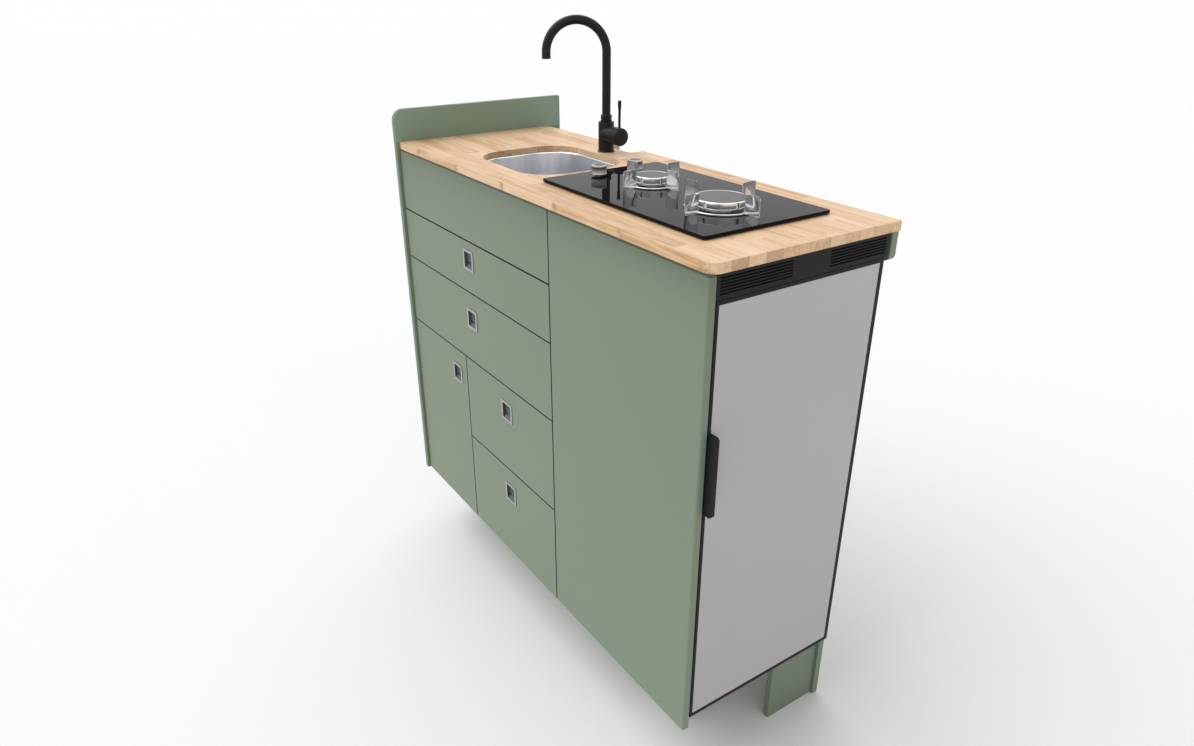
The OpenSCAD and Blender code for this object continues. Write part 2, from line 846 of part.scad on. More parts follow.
// Pressed steel bowl in the worktop's rebate, with a flange and a waste hole
module sink_bowl() {
    fw = sink_w + 2 * bowl_flange;
    fd = sink_d + 2 * bowl_flange;
    color(steel) translate([sx, sy, 0]) difference() {
        union() {
            bowl_form(bowl_t, z_bowl, z_rim - 0.1);
            translate([0, 0, z_rim - bowl_t])
                linear_extrude(bowl_t) rounded(fw, fd, sink_r + bowl_flange);
        }
        bowl_form(0, z_bowl + bowl_t, z_rim + 0.3);
        translate([0, 0, z_bowl - 1]) cylinder(r = waste_r + inlay_gap, h = 5);
    }
}

// Waste: strainer flange in the bowl, body and nut under it, outlet towards the back
module sink_waste() {
    z1 = z_bowl + bowl_t;
    z0 = z_bowl - waste_l;
    z_out = z_bowl - waste_l + outlet_r + 1.5;
    out_l = waste_r * 6;
    root_l = waste_r * 1.5;
    holes = 8;
    color(dark) difference() {
        translate([sx, sy, 0]) union() {
            translate([0, 0, z1]) rotate_extrude() polygon([
                [0, 0], [waste_r + 10, 0], [waste_r + 9, 1.5], [waste_r + 2, 2.2], [0, 2.2]
            ]);
            translate([0, 0, z0]) cylinder(r = waste_r, h = z1 - z0 + 0.5);
            translate([0, 0, z_bowl - 12]) cylinder(r = waste_r + 7, h = 12);
            translate([0, 0, z_out]) rotate([-90, 0, 0]) {
                cylinder(r = outlet_r, h = out_l);
                cylinder(r = outlet_r + 2, h = root_l);
            }
        }
        translate([sx, sy, z0 + 3]) cylinder(r = waste_r - 3, h = z1 - z0 - 4);
        translate([sx, sy, z_out]) rotate([-90, 0, 0])
            cylinder(r = outlet_r - 2.5, h = out_l + 1);
        for (i = [0:holes - 1])
            translate([sx, sy, z1 - 3]) rotate(i * 360 / holes)
                translate([waste_r * 0.55, 0, 0]) cylinder(r = 2.6, h = 8);
    }
}

// Hob

// Glass plate with holes for the burners and spindles
module hob_glass() {
    color(dark) translate([0, 0, z_glass0]) linear_extrude(glass_t) difference() {
        translate([hob_x0 + hob_l / 2, hob_y0 + hob_d / 2]) rounded(hob_l, hob_d, 5);
        for (b = burners) translate([b[0], b[1]]) circle(b[2] - 8);
        for (y = knob_ys) translate([kx, y]) circle(spindle_r + 1.5);
    }
}

// Pressed tray in the worktop, with a lip that carries the glass
module hob_tray() {
    l = hob_l - 2 * tray_in;
    d = hob_d - 2 * tray_in;
    lip = 12;
    c = [hob_x0 + hob_l / 2, hob_y0 + hob_d / 2, 0];
    color(steel) difference() {
        translate(c) difference() {
            union() {
                translate([0, 0, z_tray]) linear_extrude(z_glass0 - z_tray) rounded(l, d, 6);
                translate([0, 0, worktop_h])
                    linear_extrude(tray_lip) rounded(l + 2 * lip, d + 2 * lip, 6);
            }
            translate([0, 0, z_tray + tray_wall]) linear_extrude(z_glass0 - z_tray)
                rounded(l - 2 * tray_wall, d - 2 * tray_wall, 6 - tray_wall);
        }
        translate([kx, knob_ys[0], z_tray - 1]) cylinder(r = gas_r + 0.5, h = 5);
    }
}

// Burner bodies: cup on the tray, neck through the glass, slotted flame ring above it
module burner_bases() {
    ports = 24;
    ring_h = 8;
    skirt = 10;
    color(steel) for (b = burners) translate([b[0], b[1], 0]) difference() {
        union() {
            translate([0, 0, z_tray + tray_wall])
                cylinder(r = b[3], h = z_glass - z_tray - tray_wall + 1);
            translate([0, 0, z_glass]) rotate_extrude() polygon([
                [0, 0], [b[2] + 2, 0], [b[2] + 2, 1], [b[2] - skirt, 2], [b[2] - skirt, ring_h],
                [0, ring_h]
            ]);
        }
        for (i = [0:ports - 1]) rotate(i * 360 / ports)
            translate([b[2] - skirt - 4, -1, z_glass + 3]) cube([6, 2, 2.5]);
        translate([0, 0, z_glass + 2]) cylinder(r = b[2] - skirt - 3, h = ring_h);
    }
}

// Burner caps: a turned ring that hangs over the flame ring, and a raised enamelled disc
module burner_caps() {
    z0 = 8;
    skirt = 9;
    color(dark) for (b = burners) translate([b[0], b[1], z_glass]) rotate_extrude() polygon([
        [0, z0], [b[2] - skirt, z0], [b[2] - skirt, 4], [b[2] - 1, 4], [b[2], 5],
        [b[2], burner_h - 5], [b[2] - 1, burner_h - 3.5], [b[2] - 7, burner_h - 1.5],
        [b[2] - 7.5, burner_h - 0.5], [b[2] - 8, burner_h], [0, burner_h]
    ]);
}

// Pan supports: a band on four upright plates that stand on the glass
module pan_supports() {
    color(steel) for (b = burners) pan_support(b[0], b[1], b[2], b[4]);
}

// One support about a burner of radius r, whose plates end at radius ro
module pan_support(x, y, r, ro) {
    t = 3;
    ri = r + 7;
    ring_r = (ri + ro) / 2 - 2;
    translate([x, y, z_glass]) rotate(support_turn) {
        for (a = [0:90:270]) rotate(a) translate([0, t / 2, 0]) rotate([90, 0, 0])
            linear_extrude(t) difference() {
                polygon([
                    [ro, 0], [ro, support_h - 2], [ro - 2, support_h], [ri + 2, support_h],
                    [ri, support_h - 2], [ri, 8], [ro - 12, 5], [ro - 12, 0]
                ]);
                translate([ro - 7, support_h / 2 + 4]) circle(2.5);
            }
        rotate_extrude() translate([ring_r - t / 2, 5]) square([t, 11]);
    }
}

// Gas taps under the knobs, their feed pipe with the inlet, and a tube to each burner
module gas_valves() {
    z_pipe = z_tray + 12;
    valve_r = 9;
    valve_top = z_glass0 - 4;
    pipe_end = tray_deep;
    nut_h = 10;
    color(brass) difference() {
        union() {
            for (y = knob_ys) translate([kx, y, z_tray + tray_wall]) {
                cylinder(r = valve_r, h = valve_top - z_tray - tray_wall);
                translate([0, 0, 6]) cylinder(r = valve_r + 3, h = 12, $fn = 6);
            }
            translate([kx, knob_ys[0], z_pipe]) rotate([-90, 0, 0])
                cylinder(r = gas_r, h = knob_dy);
            translate([kx, knob_ys[0], z_tray - pipe_end]) cylinder(r = gas_r, h = pipe_end + 10);
            translate([kx, knob_ys[0], z_tray - nut_h - 0.2])
                cylinder(r = gas_r + 3, h = nut_h, $fn = 6);
            for (i = [0, 1]) feed_tube(knob_ys[1 - i], burners[i], z_pipe + 12);
        }
        for (y = knob_ys)
            translate([kx, y, z_socket]) cylinder(r = spindle_r + fit, h = 24);
        translate([kx, knob_ys[0], z_tray - pipe_end - 1]) cylinder(r = gas_r - 1, h = pipe_end);
    }
}

// Tube from a valve at y along the tray, then square to it up to the side of a burner's cup
module feed_tube(y, b, z) {
    tube_r = 2.5;
    side = y > b[1] ? 1 : -1;
    stop = b[1] + side * (b[3] + 0.05);
    translate([kx, y, z]) rotate([0, 90, 0]) cylinder(r = tube_r, h = b[0] - kx);
    translate([b[0], y, z]) sphere(tube_r);
    translate([b[0], min(y, stop), z]) rotate([-90, 0, 0])
        cylinder(r = tube_r, h = abs(stop - y));
}

// Spindle with a flat, from the valve up into the knob
module spindle(i) {
    z0 = z_socket + 0.2;
    z1 = z_knob + knob_h - knob_push - 4;
    color(steel) translate([kx, knob_ys[i], 0]) difference() {
        translate([0, 0, z0]) cylinder(r = spindle_r, h = z1 - z0);
        block([spindle_r - 0.8, -spindle_r, z_knob - knob_push - 1],
              [spindle_r + 1, spindle_r, z1 + 1]);
    }
}

// Knob: waisted barrel with a pointer groove and a blind bore that fits the spindle's flat
module knob(i) {
    bore = knob_h - 3.2;
    color(steel) translate([kx, knob_ys[i], z_knob]) difference() {
        rotate_extrude() polygon([
            [0, 0], [knob_r - 1, 0], [knob_r, 1], [knob_r - 0.6, knob_h / 2],
            [knob_r, knob_h - 2], [knob_r - 2, knob_h], [0, knob_h]
        ]);
        difference() {
            translate([0, 0, -1]) cylinder(r = spindle_r + fit, h = bore + 1);
            block([spindle_r - 0.8 + fit, -knob_r, -2], [knob_r, knob_r, bore + 1]);
        }
        block([-1, 3, knob_h - 1], [1, knob_r + 1, knob_h + 1]);
    }
}

// Tap

// Body with its side housing, hollow for the cartridge, and a bore for the spout's stem
module tap_body() {
    stem_r = 9;
    color(dark) translate([tx, ty, worktop_h]) difference() {
        union() {
            rotate_extrude() polygon([
                [0, 0], [tap_r, 0], [tap_r, tap_h - 1], [tap_r - 1, tap_h], [0, tap_h]
            ]);
            translate([0, 0, housing_h]) rotate([0, 90, 0])
                cylinder(r = housing_r - 0.5, h = housing_l);
        }
        translate([0, 0, tap_h - 20]) cylinder(r = stem_r + fit, h = 21);
        translate([housing_l - 12, 0, housing_h]) rotate([0, 90, 0])
            cylinder(r = 8 + fit, h = 13);
    }
}

// Spout: stem and collar on the body, straight pipe and gooseneck, aerator in its end
module tap_spout() {
    stem_r = 9;
    wall = 1.5;
    z0 = tap_h + run_gap;
    color(dark) translate([tx, ty, worktop_h]) rotate(spout_turn) {
        difference() {
            union() {
                translate([0, 0, tap_h - 18]) cylinder(r = stem_r, h = 20);
                translate([0, 0, z0]) rotate_extrude() polygon([
                    [0, 0], [collar_r, 0], [collar_r, collar_h - 1.5], [collar_r - 1.5, collar_h],
                    [0, collar_h]
                ]);
                translate([0, 0, z0 + collar_h - 1])
                    cylinder(r = spout_r, h = bend_h - z0 - collar_h + 1);
            }
            translate([0, 0, tap_h - 19]) cylinder(r = spout_r - wall - 2, h = bend_h);
        }
        translate([0, -bend_r, bend_h]) rotate([0, -90, 0]) rotate([0, 0, -90])
            rotate_extrude(angle = 180) translate([bend_r, 0]) difference() {
                circle(spout_r);
                circle(spout_r - wall);
            }
        translate([0, -2 * bend_r, bend_h - spout_end]) difference() {
            cylinder(r = spout_r, h = spout_end);
            translate([0, 0, -1]) cylinder(r = spout_r - wall, h = 3);
            translate([0, 0, 5]) cylinder(r = spout_r - wall, h = spout_end);
            for (a = [0:60:300]) rotate(a) translate([4.5, 0, -1]) cylinder(r = 1.2, h = 8);
        }
    }
}

// Turning cap on the housing, with a domed end and a slot for the lever
module tap_cap() {
    slot_w = 2 * lever_r + 2 * run_gap;
    dome = 4;
    color(dark) translate([tx + housing_l, ty, worktop_h + housing_h]) difference() {
        union() {
            rotate([0, 90, 0]) rotate_extrude() polygon([
                [0, run_gap], [housing_r, run_gap], [housing_r, cap_l - dome],
                [housing_r - dome * 0.3, cap_l - dome * 0.3], [housing_r - dome, cap_l],
                [0, cap_l]
            ]);
            translate([-10, 0, 0]) rotate([0, 90, 0]) cylinder(r = 8, h = 11);
        }
        block([2, -slot_w / 2, -7], [cap_l + 1, slot_w / 2, housing_r + 1]);
        translate([7, housing_r + 1, 0]) rotate([90, 0, 0])
            cylinder(r = 2 + fit, h = housing_r + 14);
    }
}

// Lever rod on a cross pin in the cap, with a small bulb at its tip
module tap_lever() {
    tip_r = 4;
    l = lever_top - housing_h;
    color(dark) translate([tx + housing_l + 7, ty, worktop_h + housing_h]) {
        translate([0, 13, 0]) rotate([90, 0, 0]) cylinder(r = 2, h = 26);
        rotate([90, 0, 0]) translate([0, 0, -lever_r]) cylinder(r = 4.5, h = 2 * lever_r);
        rotate_extrude() polygon([
            [0, 2], [lever_r, 2], [lever_r, l - 22], [tip_r, l - 12], [tip_r, l - 2],
            [tip_r - 2, l], [0, l]
        ]);
    }
}

// Threaded shank, nut and two pipe tails under the worktop
module tap_tail() {
    shank_r = tap_r - 5;
    tail_r = 5;
    color(brass) translate([tx, ty, 0]) {
        translate([0, 0, z_under - 22]) cylinder(r = shank_r, h = 22 + worktop_t);
        difference() {
            translate([0, 0, z_under - 8]) cylinder(r = tap_r + 1, h = 8, $fn = 6);
            translate([0, 0, z_under - 9]) cylinder(r = shank_r - 1, h = 10);
        }
        for (s = [-1, 1]) translate([s * 6.5, 0, z_under - 100]) difference() {
            cylinder(r = tail_r, h = 80);
            translate([0, 0, -1]) cylinder(r = tail_r - 1.2, h = 60);
        }
    }
}

// Fridge

// Insulated cabinet with its cavity, shelf ledges, machine niche and feet
module fridge_cabinet() {
    cy0 = fy0 + wall_t;
    cy1 = fy1 - wall_t;
    ledge = 6;
    color(white) {
        difference() {
            block([fx_back, fy0, z_cab0], [fx_cab, fy1, z_cab1]);
            difference() {
                union() {
                    block([fx_back + wall_t, cy0, z_cab0 + niche_h + wall_t],
                          [fx_cab + 1, cy1, z_cab1 - wall_t]);
                    block([fx_back + niche_d + wall_t, cy0, z_cab0 + wall_t],
                          [fx_cab + 1, cy1, z_cab0 + niche_h + wall_t + 1]);
                }
                for (z = shelf_zs, y = [cy0 - 1, cy1 - ledge])
                    block([fx_back, y, z - 8], [fx_cab - 70, y + ledge + 1, z]);
            }
            block([fx_back - 1, fy0 + 20, z_cab0 - 1],
                  [fx_back + niche_d, fy1 - 20, z_cab0 + niche_h]);
        }
        for (x = [fx_back + niche_d + 30, fx_cab - 30], y = [fy0 + 30, fy1 - 30])
            translate([x, y, z_floor]) cylinder(r = 12, h = 6);
        for (y = [fy0 + 10, fy1 - 10])
            translate([fx_back + 15, y, z_floor]) cylinder(r = 8, h = 6);
    }
}

// Heights of the shelves' lower faces
shelf_zs = [for (i = [1:3]) z_cab0 + niche_h + wall_t + i * (z_cab1 - z_cab0 - niche_h) / 4.4];

// Wire shelves on the ledges
module fridge_shelves() {
    rod = 2;
    y0 = fy0 + wall_t + run_gap;
    y1 = fy1 - wall_t - run_gap;
    x0 = fx_back + wall_t + 2;
    x1 = fx_cab - 72;
    color(steel) for (z = shelf_zs) translate([0, 0, z + rod]) {
        for (x = [x0 + rod, x1 - rod])
            translate([x, y0, 0]) rotate([-90, 0, 0]) cylinder(r = rod, h = y1 - y0, $fn = 24);
        for (i = [0:bars - 1])
            translate([x0, y0 + rod + i * (y1 - y0 - 2 * rod) / (bars - 1), 0])
                rotate([0, 90, 0]) cylinder(r = rod, h = x1 - x0, $fn = 24);
    }
}

// Ventilation grille over the door: two banks of sloping slots beside a plain middle
module fridge_grille() {
    t = 8;
    y0 = y_fb;
    y1 = fy1 + 2;
    x1 = x_end - 1;
    bank = [[y0 + 7, y0 + 161], [y0 + 248, y1 - 8]];
    pitch = (grille_h - 12) / slots;
    color(dark) difference() {
        union() {
            block([x1 - t, y0, z_grille], [x1, y1, z_under]);
            block([x1 - t - 6, y1 - 30, z_grille + 4], [x1 - t + 1, y_board, z_under]);
        }
        for (b = bank, i = [0:slots - 1])
            translate([x1 - t / 2, (b[0] + b[1]) / 2, z_under - 2.5 - (i + 0.5) * pitch])
                rotate([0, 30, 0]) cube([t * 2.6, b[1] - b[0], pitch * 0.5], center = true);
        block([x1 - t - 1, fy1 - bracket_w - 1.5, z_grille - 1],
              [door_ax + 7.5, fy1 - 0.5, z_door1 + seat_gap + bracket_t + 0.3]);
    }
}

// Hinge brackets above and below the door, each with its pin
module fridge_hinges() {
    t = bracket_t;
    w = bracket_w;
    y1 = fy1 - 1;
    pin_l = 14;
    color(steel) {
        block([fx_cab - 30, y1 - w, z_cab1], [fx_cab, y1, z_door1 + seat_gap + t]);
        block([fx_cab - 30, y1 - w, z_door1 + seat_gap],
              [door_ax + 7, y1, z_door1 + seat_gap + t]);
        translate([door_ax, door_ay, z_door1 - pin_l])
            cylinder(r = door_pin_r, h = pin_l + seat_gap + 1);
        block([fx_cab, y1 - w, z_door0 - seat_gap - t], [door_ax + 7, y1, z_door0 - seat_gap]);
        translate([door_ax, door_ay, z_door0 - seat_gap - 1])
            cylinder(r = door_pin_r, h = pin_l + seat_gap + 1);
    }
}

// Compressor, condenser and fan on a base plate in the niche
module cooling_unit() {
    x0 = fx_back + 2;
    yc = (fy0 + fy1) / 2;
    z0 = z_cab0;
    r = niche_d * 0.385;
    h = niche_h * 0.65;
    fins = 14;
    pitch = niche_d * 0.06;
    fin_l = niche_d * 0.67;
    fin_h = niche_h * 0.72;
    box_l = niche_d * 0.27;
    y_box = fy0 + 26;
    color(dark) {
        block([x0, fy0 + 20, z0], [x0 + niche_d - 8, fy1 - 20, z0 + 3]);
        block([x0 + 8, y_box, z0 + 2], [x0 + 8 + box_l, y_box + box_l, z0 + h * 0.6]);
        translate([x0, y_box + box_l / 2, z0 + h * 0.34]) rotate([0, 90, 0])
            cylinder(r = 8, h = 10);
        translate([x0 + niche_d / 2 - 3, yc - niche_d * 0.53, z0 + 3]) rotate_extrude() polygon([
            [0, 0], [r * 0.86, 0], [r * 0.96, h * 0.07], [r, h * 0.5], [r * 0.9, h * 0.8],
            [r * 0.65, h * 0.95], [0, h]
        ]);
        translate([x0 + 20, yc + 20, z0 + 3]) {
            for (i = [0:fins - 1]) translate([0, i * pitch, 0]) cube([fin_l, 2, fin_h]);
            for (k = [1:4], x = [0.2, 0.8]) translate([x * fin_l, 0, k * fin_h / 5])
                rotate([-90, 0, 0]) cylinder(r = 4, h = (fins - 1) * pitch + 2);
        }
    }
}

// Dark door shell with a shallow recess for the face panel and a bore at each hinge
module fridge_door_frame() {
    depth = 3;
    color(dark) difference() {
        translate([0, 0, z_door0]) linear_extrude(z_door1 - z_door0)
            translate([fx_in, fy0]) cornered(door_t, fridge_w, [12, 3, 6, 0]);
        block([fx_face - depth, fy0 + border, z_door0 + border + 1],
              [fx_face + 1, fy1 - border_hinge, z_door1 - border]);
        for (z = [z_door0 - 1, z_door1 - 16])
            translate([door_ax, door_ay, z]) cylinder(r = door_pin_r + fit, h = 17);
    }
}

// Pale face panel in the door's recess
module fridge_door_panel() {
    color(pale)
        block([fx_face - 3, fy0 + border + inlay_gap, z_door0 + border + 1 + inlay_gap],
              [fx_face - 0.5, fy1 - border_hinge - inlay_gap, z_door1 - border - inlay_gap]);
}

// Inner door liner
module fridge_door_liner() {
    color(white) block([fx_in - liner_t, liner_y0, liner_z0],
                       [fx_in, liner_y1, z_door1 - wall_t - 20]);
}

// Three racks clipped on the liner, which reach into the cavity
module fridge_door_racks() {
    rack_h = 70;
    t = 3;
    x0 = fx_in - liner_t - 48;
    x1 = fx_in - liner_t - inlay_gap;
    color(white) for (z = [12, 260, 500]) translate([0, 0, liner_z0 + z]) difference() {
        block([x0, liner_y0 + 2, 0], [x1, liner_y1 - 2, rack_h]);
        block([x0 + t, liner_y0 + 2 + t, t], [x1 + 1, liner_y1 - 2 - t, rack_h + 1]);
    }
}

// Seal round the door's inner face
module fridge_gasket() {
    w = 12;
    y0 = fy0 + 12;
    y1 = fy1 - 18;
    z0 = z_door0 + 12;
    z1 = z_cab1 - 6;
    color(pale) difference() {
        block([fx_in - seal_t, y0, z0], [fx_in, y1, z1]);
        block([fx_in - seal_t - 1, y0 + w, z0 + w], [fx_in + 1, y1 - w, z1 - w]);
    }
}

// Upright grip at the door's opening side, its ends chamfered and its back hollowed for fingers
module fridge_handle() {
    z0 = handle_z - handle_h / 2;
    ch = 4;
    color(dark) difference() {
        upright(fy0, handle_t) translate([fx_face, z0]) polygon([
            [0, 0], [handle_out - ch, 0], [handle_out, ch], [handle_out, handle_h - ch],
            [handle_out - ch, handle_h], [0, handle_h]
        ]);
        upright(fy0 + handle_t - 3, 4) translate([fx_face + 3, z0 + 12])
            cornered(handle_out - 8, handle_h - 24, [4, 4, 4, 4]);
    }
}

// One named piece for each repeated part
module drawer_1_front() { drawer_front(0); }
module drawer_1_box() { drawer_box(0); }
module drawer_1_fittings() { drawer_fittings(0); }
module drawer_1_paddle() { catch_paddle(catch_x(0), catch_z(0)); }
module drawer_2_front() { drawer_front(1); }
module drawer_2_box() { drawer_box(1); }
module drawer_2_fittings() { drawer_fittings(1); }
module drawer_2_paddle() { catch_paddle(catch_x(1), catch_z(1)); }
module drawer_3_front() { drawer_front(2); }
module drawer_3_box() { drawer_box(2); }
module drawer_3_fittings() { drawer_fittings(2); }
module drawer_3_paddle() { catch_paddle(catch_x(2), catch_z(2)); }
module drawer_4_front() { drawer_front(3); }
module drawer_4_box() { drawer_box(3); }
module drawer_4_fittings() { drawer_fittings(3); }
module drawer_4_paddle() { catch_paddle(catch_x(3), catch_z(3)); }
module spindle_front() { spindle(0); }
module spindle_rear() { spindle(1); }
module knob_front() { knob(0); }
module knob_rear() { knob(1); }

end_panel();
divider_panel();
partition_panel();
base_panel();
mid_shelf();
rails();
back_panel();
fridge_side_panel();
sink_front();
plinth_boards();
worktop();
cabinet_fittings();
runners_fixed();
sink_bowl();
sink_waste();
hob_glass();
hob_tray();
burner_bases();
burner_caps();
pan_supports();
gas_valves();
spindle_front();
spindle_rear();
knob_front();
knob_rear();
tap_body();
tap_spout();
tap_cap();
tap_lever();
tap_tail();
fridge_cabinet();
fridge_shelves();
fridge_grille();
fridge_hinges();
cooling_unit();
fridge_door_frame();
fridge_door_panel();
fridge_door_liner();
fridge_door_racks();
fridge_gasket();
fridge_handle();
drawer_1_front();
drawer_1_box();
drawer_1_fittings();
drawer_1_paddle();
drawer_2_front();
drawer_2_box();
drawer_2_fittings();
drawer_2_paddle();
drawer_3_front();
drawer_3_box();
drawer_3_fittings();
drawer_3_paddle();
drawer_4_front();
drawer_4_box();
drawer_4_fittings();
drawer_4_paddle();
cupboard_door();
cupboard_door_fittings();
cupboard_door_paddle();
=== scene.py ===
import json
import math

import bmesh
import bpy
from mathutils import Matrix, Vector


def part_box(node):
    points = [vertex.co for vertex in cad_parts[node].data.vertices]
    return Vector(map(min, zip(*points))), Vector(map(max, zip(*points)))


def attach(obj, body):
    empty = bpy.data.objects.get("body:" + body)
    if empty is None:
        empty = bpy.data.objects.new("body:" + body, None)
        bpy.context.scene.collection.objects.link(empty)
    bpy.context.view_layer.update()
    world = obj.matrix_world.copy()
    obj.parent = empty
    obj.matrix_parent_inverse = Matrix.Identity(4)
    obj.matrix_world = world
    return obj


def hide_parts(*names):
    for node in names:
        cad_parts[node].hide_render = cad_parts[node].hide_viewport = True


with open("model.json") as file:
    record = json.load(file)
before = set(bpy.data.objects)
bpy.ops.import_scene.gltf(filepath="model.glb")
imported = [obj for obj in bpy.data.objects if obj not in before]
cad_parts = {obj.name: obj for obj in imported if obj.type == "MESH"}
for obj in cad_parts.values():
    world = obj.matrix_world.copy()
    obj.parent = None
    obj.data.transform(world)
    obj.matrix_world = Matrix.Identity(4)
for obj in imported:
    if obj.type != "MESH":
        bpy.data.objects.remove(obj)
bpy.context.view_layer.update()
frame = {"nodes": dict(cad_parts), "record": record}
nodes = frame["nodes"]
slotOf = {part["node"]: part["material_slot"] for part in frame["record"]["subparts"]}
mm = 0.001  # the scene is in metres
print("frame:", len(nodes), "nodes")


class Wire:
    # a socket that can stand in a sum, with numbers or other sockets
    def __init__(self, owner, socket):
        self.owner = owner
        self.socket = socket

    def reckon(self, operation, first, second=None):
        values = [first] if second is None else [first, second]
        return self.owner.node("ShaderNodeMath", {"operation": operation}, values)

    def __add__(self, other):
        return self.reckon("ADD", self, other)

    __radd__ = __add__

    def __sub__(self, other):
        return self.reckon("SUBTRACT", self, other)

    def __rsub__(self, other):
        return self.reckon("SUBTRACT", other, self)

    def __mul__(self, other):
        return self.reckon("MULTIPLY", self, other)

    __rmul__ = __mul__

    def __truediv__(self, other):
        return self.reckon("DIVIDE", self, other)

    def __rtruediv__(self, other):
        return self.reckon("DIVIDE", other, self)

    def __gt__(self, other):
        return self.reckon("GREATER_THAN", self, other)

    def __lt__(self, other):
        return self.reckon("LESS_THAN", self, other)

    def through(self, operation):
        # an operation on this value alone, such as FLOOR
        return self.reckon(operation, self)

    def offMiddle(self):
        # how far the value lies from the middle of its whole step, 0 to 0.5
        return (self.through("FRACT") - 0.5).through("ABSOLUTE")


class Nodes:
    # a node tree, and the few nodes that most finishes start from
    def __init__(self, tree):
        self.tree = tree

    def node(self, kind, settings=None, values=(), output=0):
        made = self.tree.nodes.new(kind)
        for key, value in (settings or {}).items():
            if key == "stops":
                ramp = made.color_ramp
                while len(ramp.elements) < len(value):
                    ramp.elements.new(0.5)
                for element, (place, colour) in zip(ramp.elements, value):
                    element.position = place
                    element.color = (*colour, 1)
            else:
                setattr(made, key, value)
        pairs = values.items() if isinstance(values, dict) else enumerate(values)
        for key, value in pairs:
            self.join(made.inputs[key], value)
        return Wire(self, made.outputs[output])

    def join(self, socket, value):
        if isinstance(value, Wire):
            self.tree.links.new(value.socket, socket)
        elif isinstance(value, (tuple, list)) and len(value) == 3 and socket.type == "RGBA":
            socket.default_value = (*value, 1)
        else:
            socket.default_value = value

    def place(self):
        return self.node("ShaderNodeTexCoord", output="Object")

    def facing(self):
        # which way the surface faces, in the piece's own axes
        return self.axes(self.node("ShaderNodeTexCoord", output="Normal"))

    def axes(self, vector=None):
        split = self.node("ShaderNodeSeparateXYZ", {}, [vector or self.place()])
        return [Wire(self, socket) for socket in split.socket.node.outputs]

    def vector(self, x, y, z):
        return self.node("ShaderNodeCombineXYZ", {}, [x, y, z])

    def stretch(self, scale, vector=None):
        return self.node("ShaderNodeVectorMath", {"operation": "MULTIPLY"}, [vector or self.place(), scale])

    def noise(self, scale, vector=None, detail=3.0, roughness=0.5, distortion=0.0):
        return self.node("ShaderNodeTexNoise", {}, {
            "Vector": vector or self.place(), "Scale": scale,
            "Detail": detail, "Roughness": roughness, "Distortion": distortion})

    def chance(self, vector):
        return self.node("ShaderNodeTexWhiteNoise", {"noise_dimensions": "3D"}, {"Vector": vector})

    def spread(self, value, low, high, fromLow=0.0, fromHigh=1.0):
        return self.node("ShaderNodeMapRange", {}, [value, fromLow, fromHigh, low, high])

    def blend(self, factor, first, second):
        return self.node("ShaderNodeMix", {"data_type": "RGBA"}, {0: factor, 6: first, 7: second}, output=2)

    def between(self, factor, first, second):
        return self.node("ShaderNodeMix", {"data_type": "FLOAT"}, {0: factor, 2: first, 3: second})

    def ramp(self, value, stops):
        return self.node("ShaderNodeValToRGB", {"stops": stops}, [value])

    def bump(self, height, depth, strength):
        return self.node("ShaderNodeBump", {}, {"Strength": strength, "Distance": depth, "Height": height})


class Finish(Nodes):
    # one procedural material
    sockets = {"colour": "Base Color", "roughness": "Roughness", "metallic": "Metallic", "normal": "Normal",
               "specular": "Specular IOR Level", "transmission": "Transmission Weight",
               "glow": "Emission Color", "glowStrength": "Emission Strength"}

    def __init__(self, name, **surface):
        self.material = bpy.data.materials.new(name)
        self.material.use_nodes = True
        super().__init__(self.material.node_tree)
        self.shader = self.tree.nodes["Principled BSDF"]
        self.set(**surface)

    def set(self, **surface):
        # colour=..., roughness=... and so on, as a number or a wire
        for key, value in surface.items():
            self.join(self.shader.inputs[self.sockets[key]], value)


def srgb(r, g, b):
    # the colour as it looks on screen, 0 to 255, as the shader wants it
    return tuple(v / 255 / 12.92 if v <= 10 else ((v / 255 + 0.055) / 1.055) ** 2.4 for v in (r, g, b))


def paler(colour, by):
    return tuple(min(1.0, v * by) for v in colour)


# The stage: a pale floor without an end, even light from all round and three broad suns.

stageLook = {
    "lens": 25.5, "sensor": 36, "near": 0.02, "far": 400,
    "place": (1.47955, -1.0411, 1.5125), "turn": 55.81, "down": 25.54,
    "floor": 0.95, "floorLift": 0.03, "floorReach": 150, "floorHeight": -0.0002,
    "sky": 0.44, "sunSize": 60.0,
    "suns": (("left", 1.5, (-0.56, -0.83, 1.2)), ("back", 0.7, (-0.75, 0.4, 0.95)),
             ("right", 0.22, (0.9, -0.25, 0.5))),
}


def setCamera():
    view = bpy.data.objects.new("camera", bpy.data.cameras.new("camera"))
    view.data.sensor_width = stageLook["sensor"]
    view.data.lens = stageLook["lens"]
    view.data.clip_start = stageLook["near"]
    view.data.clip_end = stageLook["far"]
    view.location = stageLook["place"]
    view.rotation_euler = (math.radians(90 - stageLook["down"]), 0, math.radians(stageLook["turn"]))
    bpy.context.scene.collection.objects.link(view)
    bpy.context.scene.camera = view
    bpy.context.scene.view_settings.view_transform = "Standard"


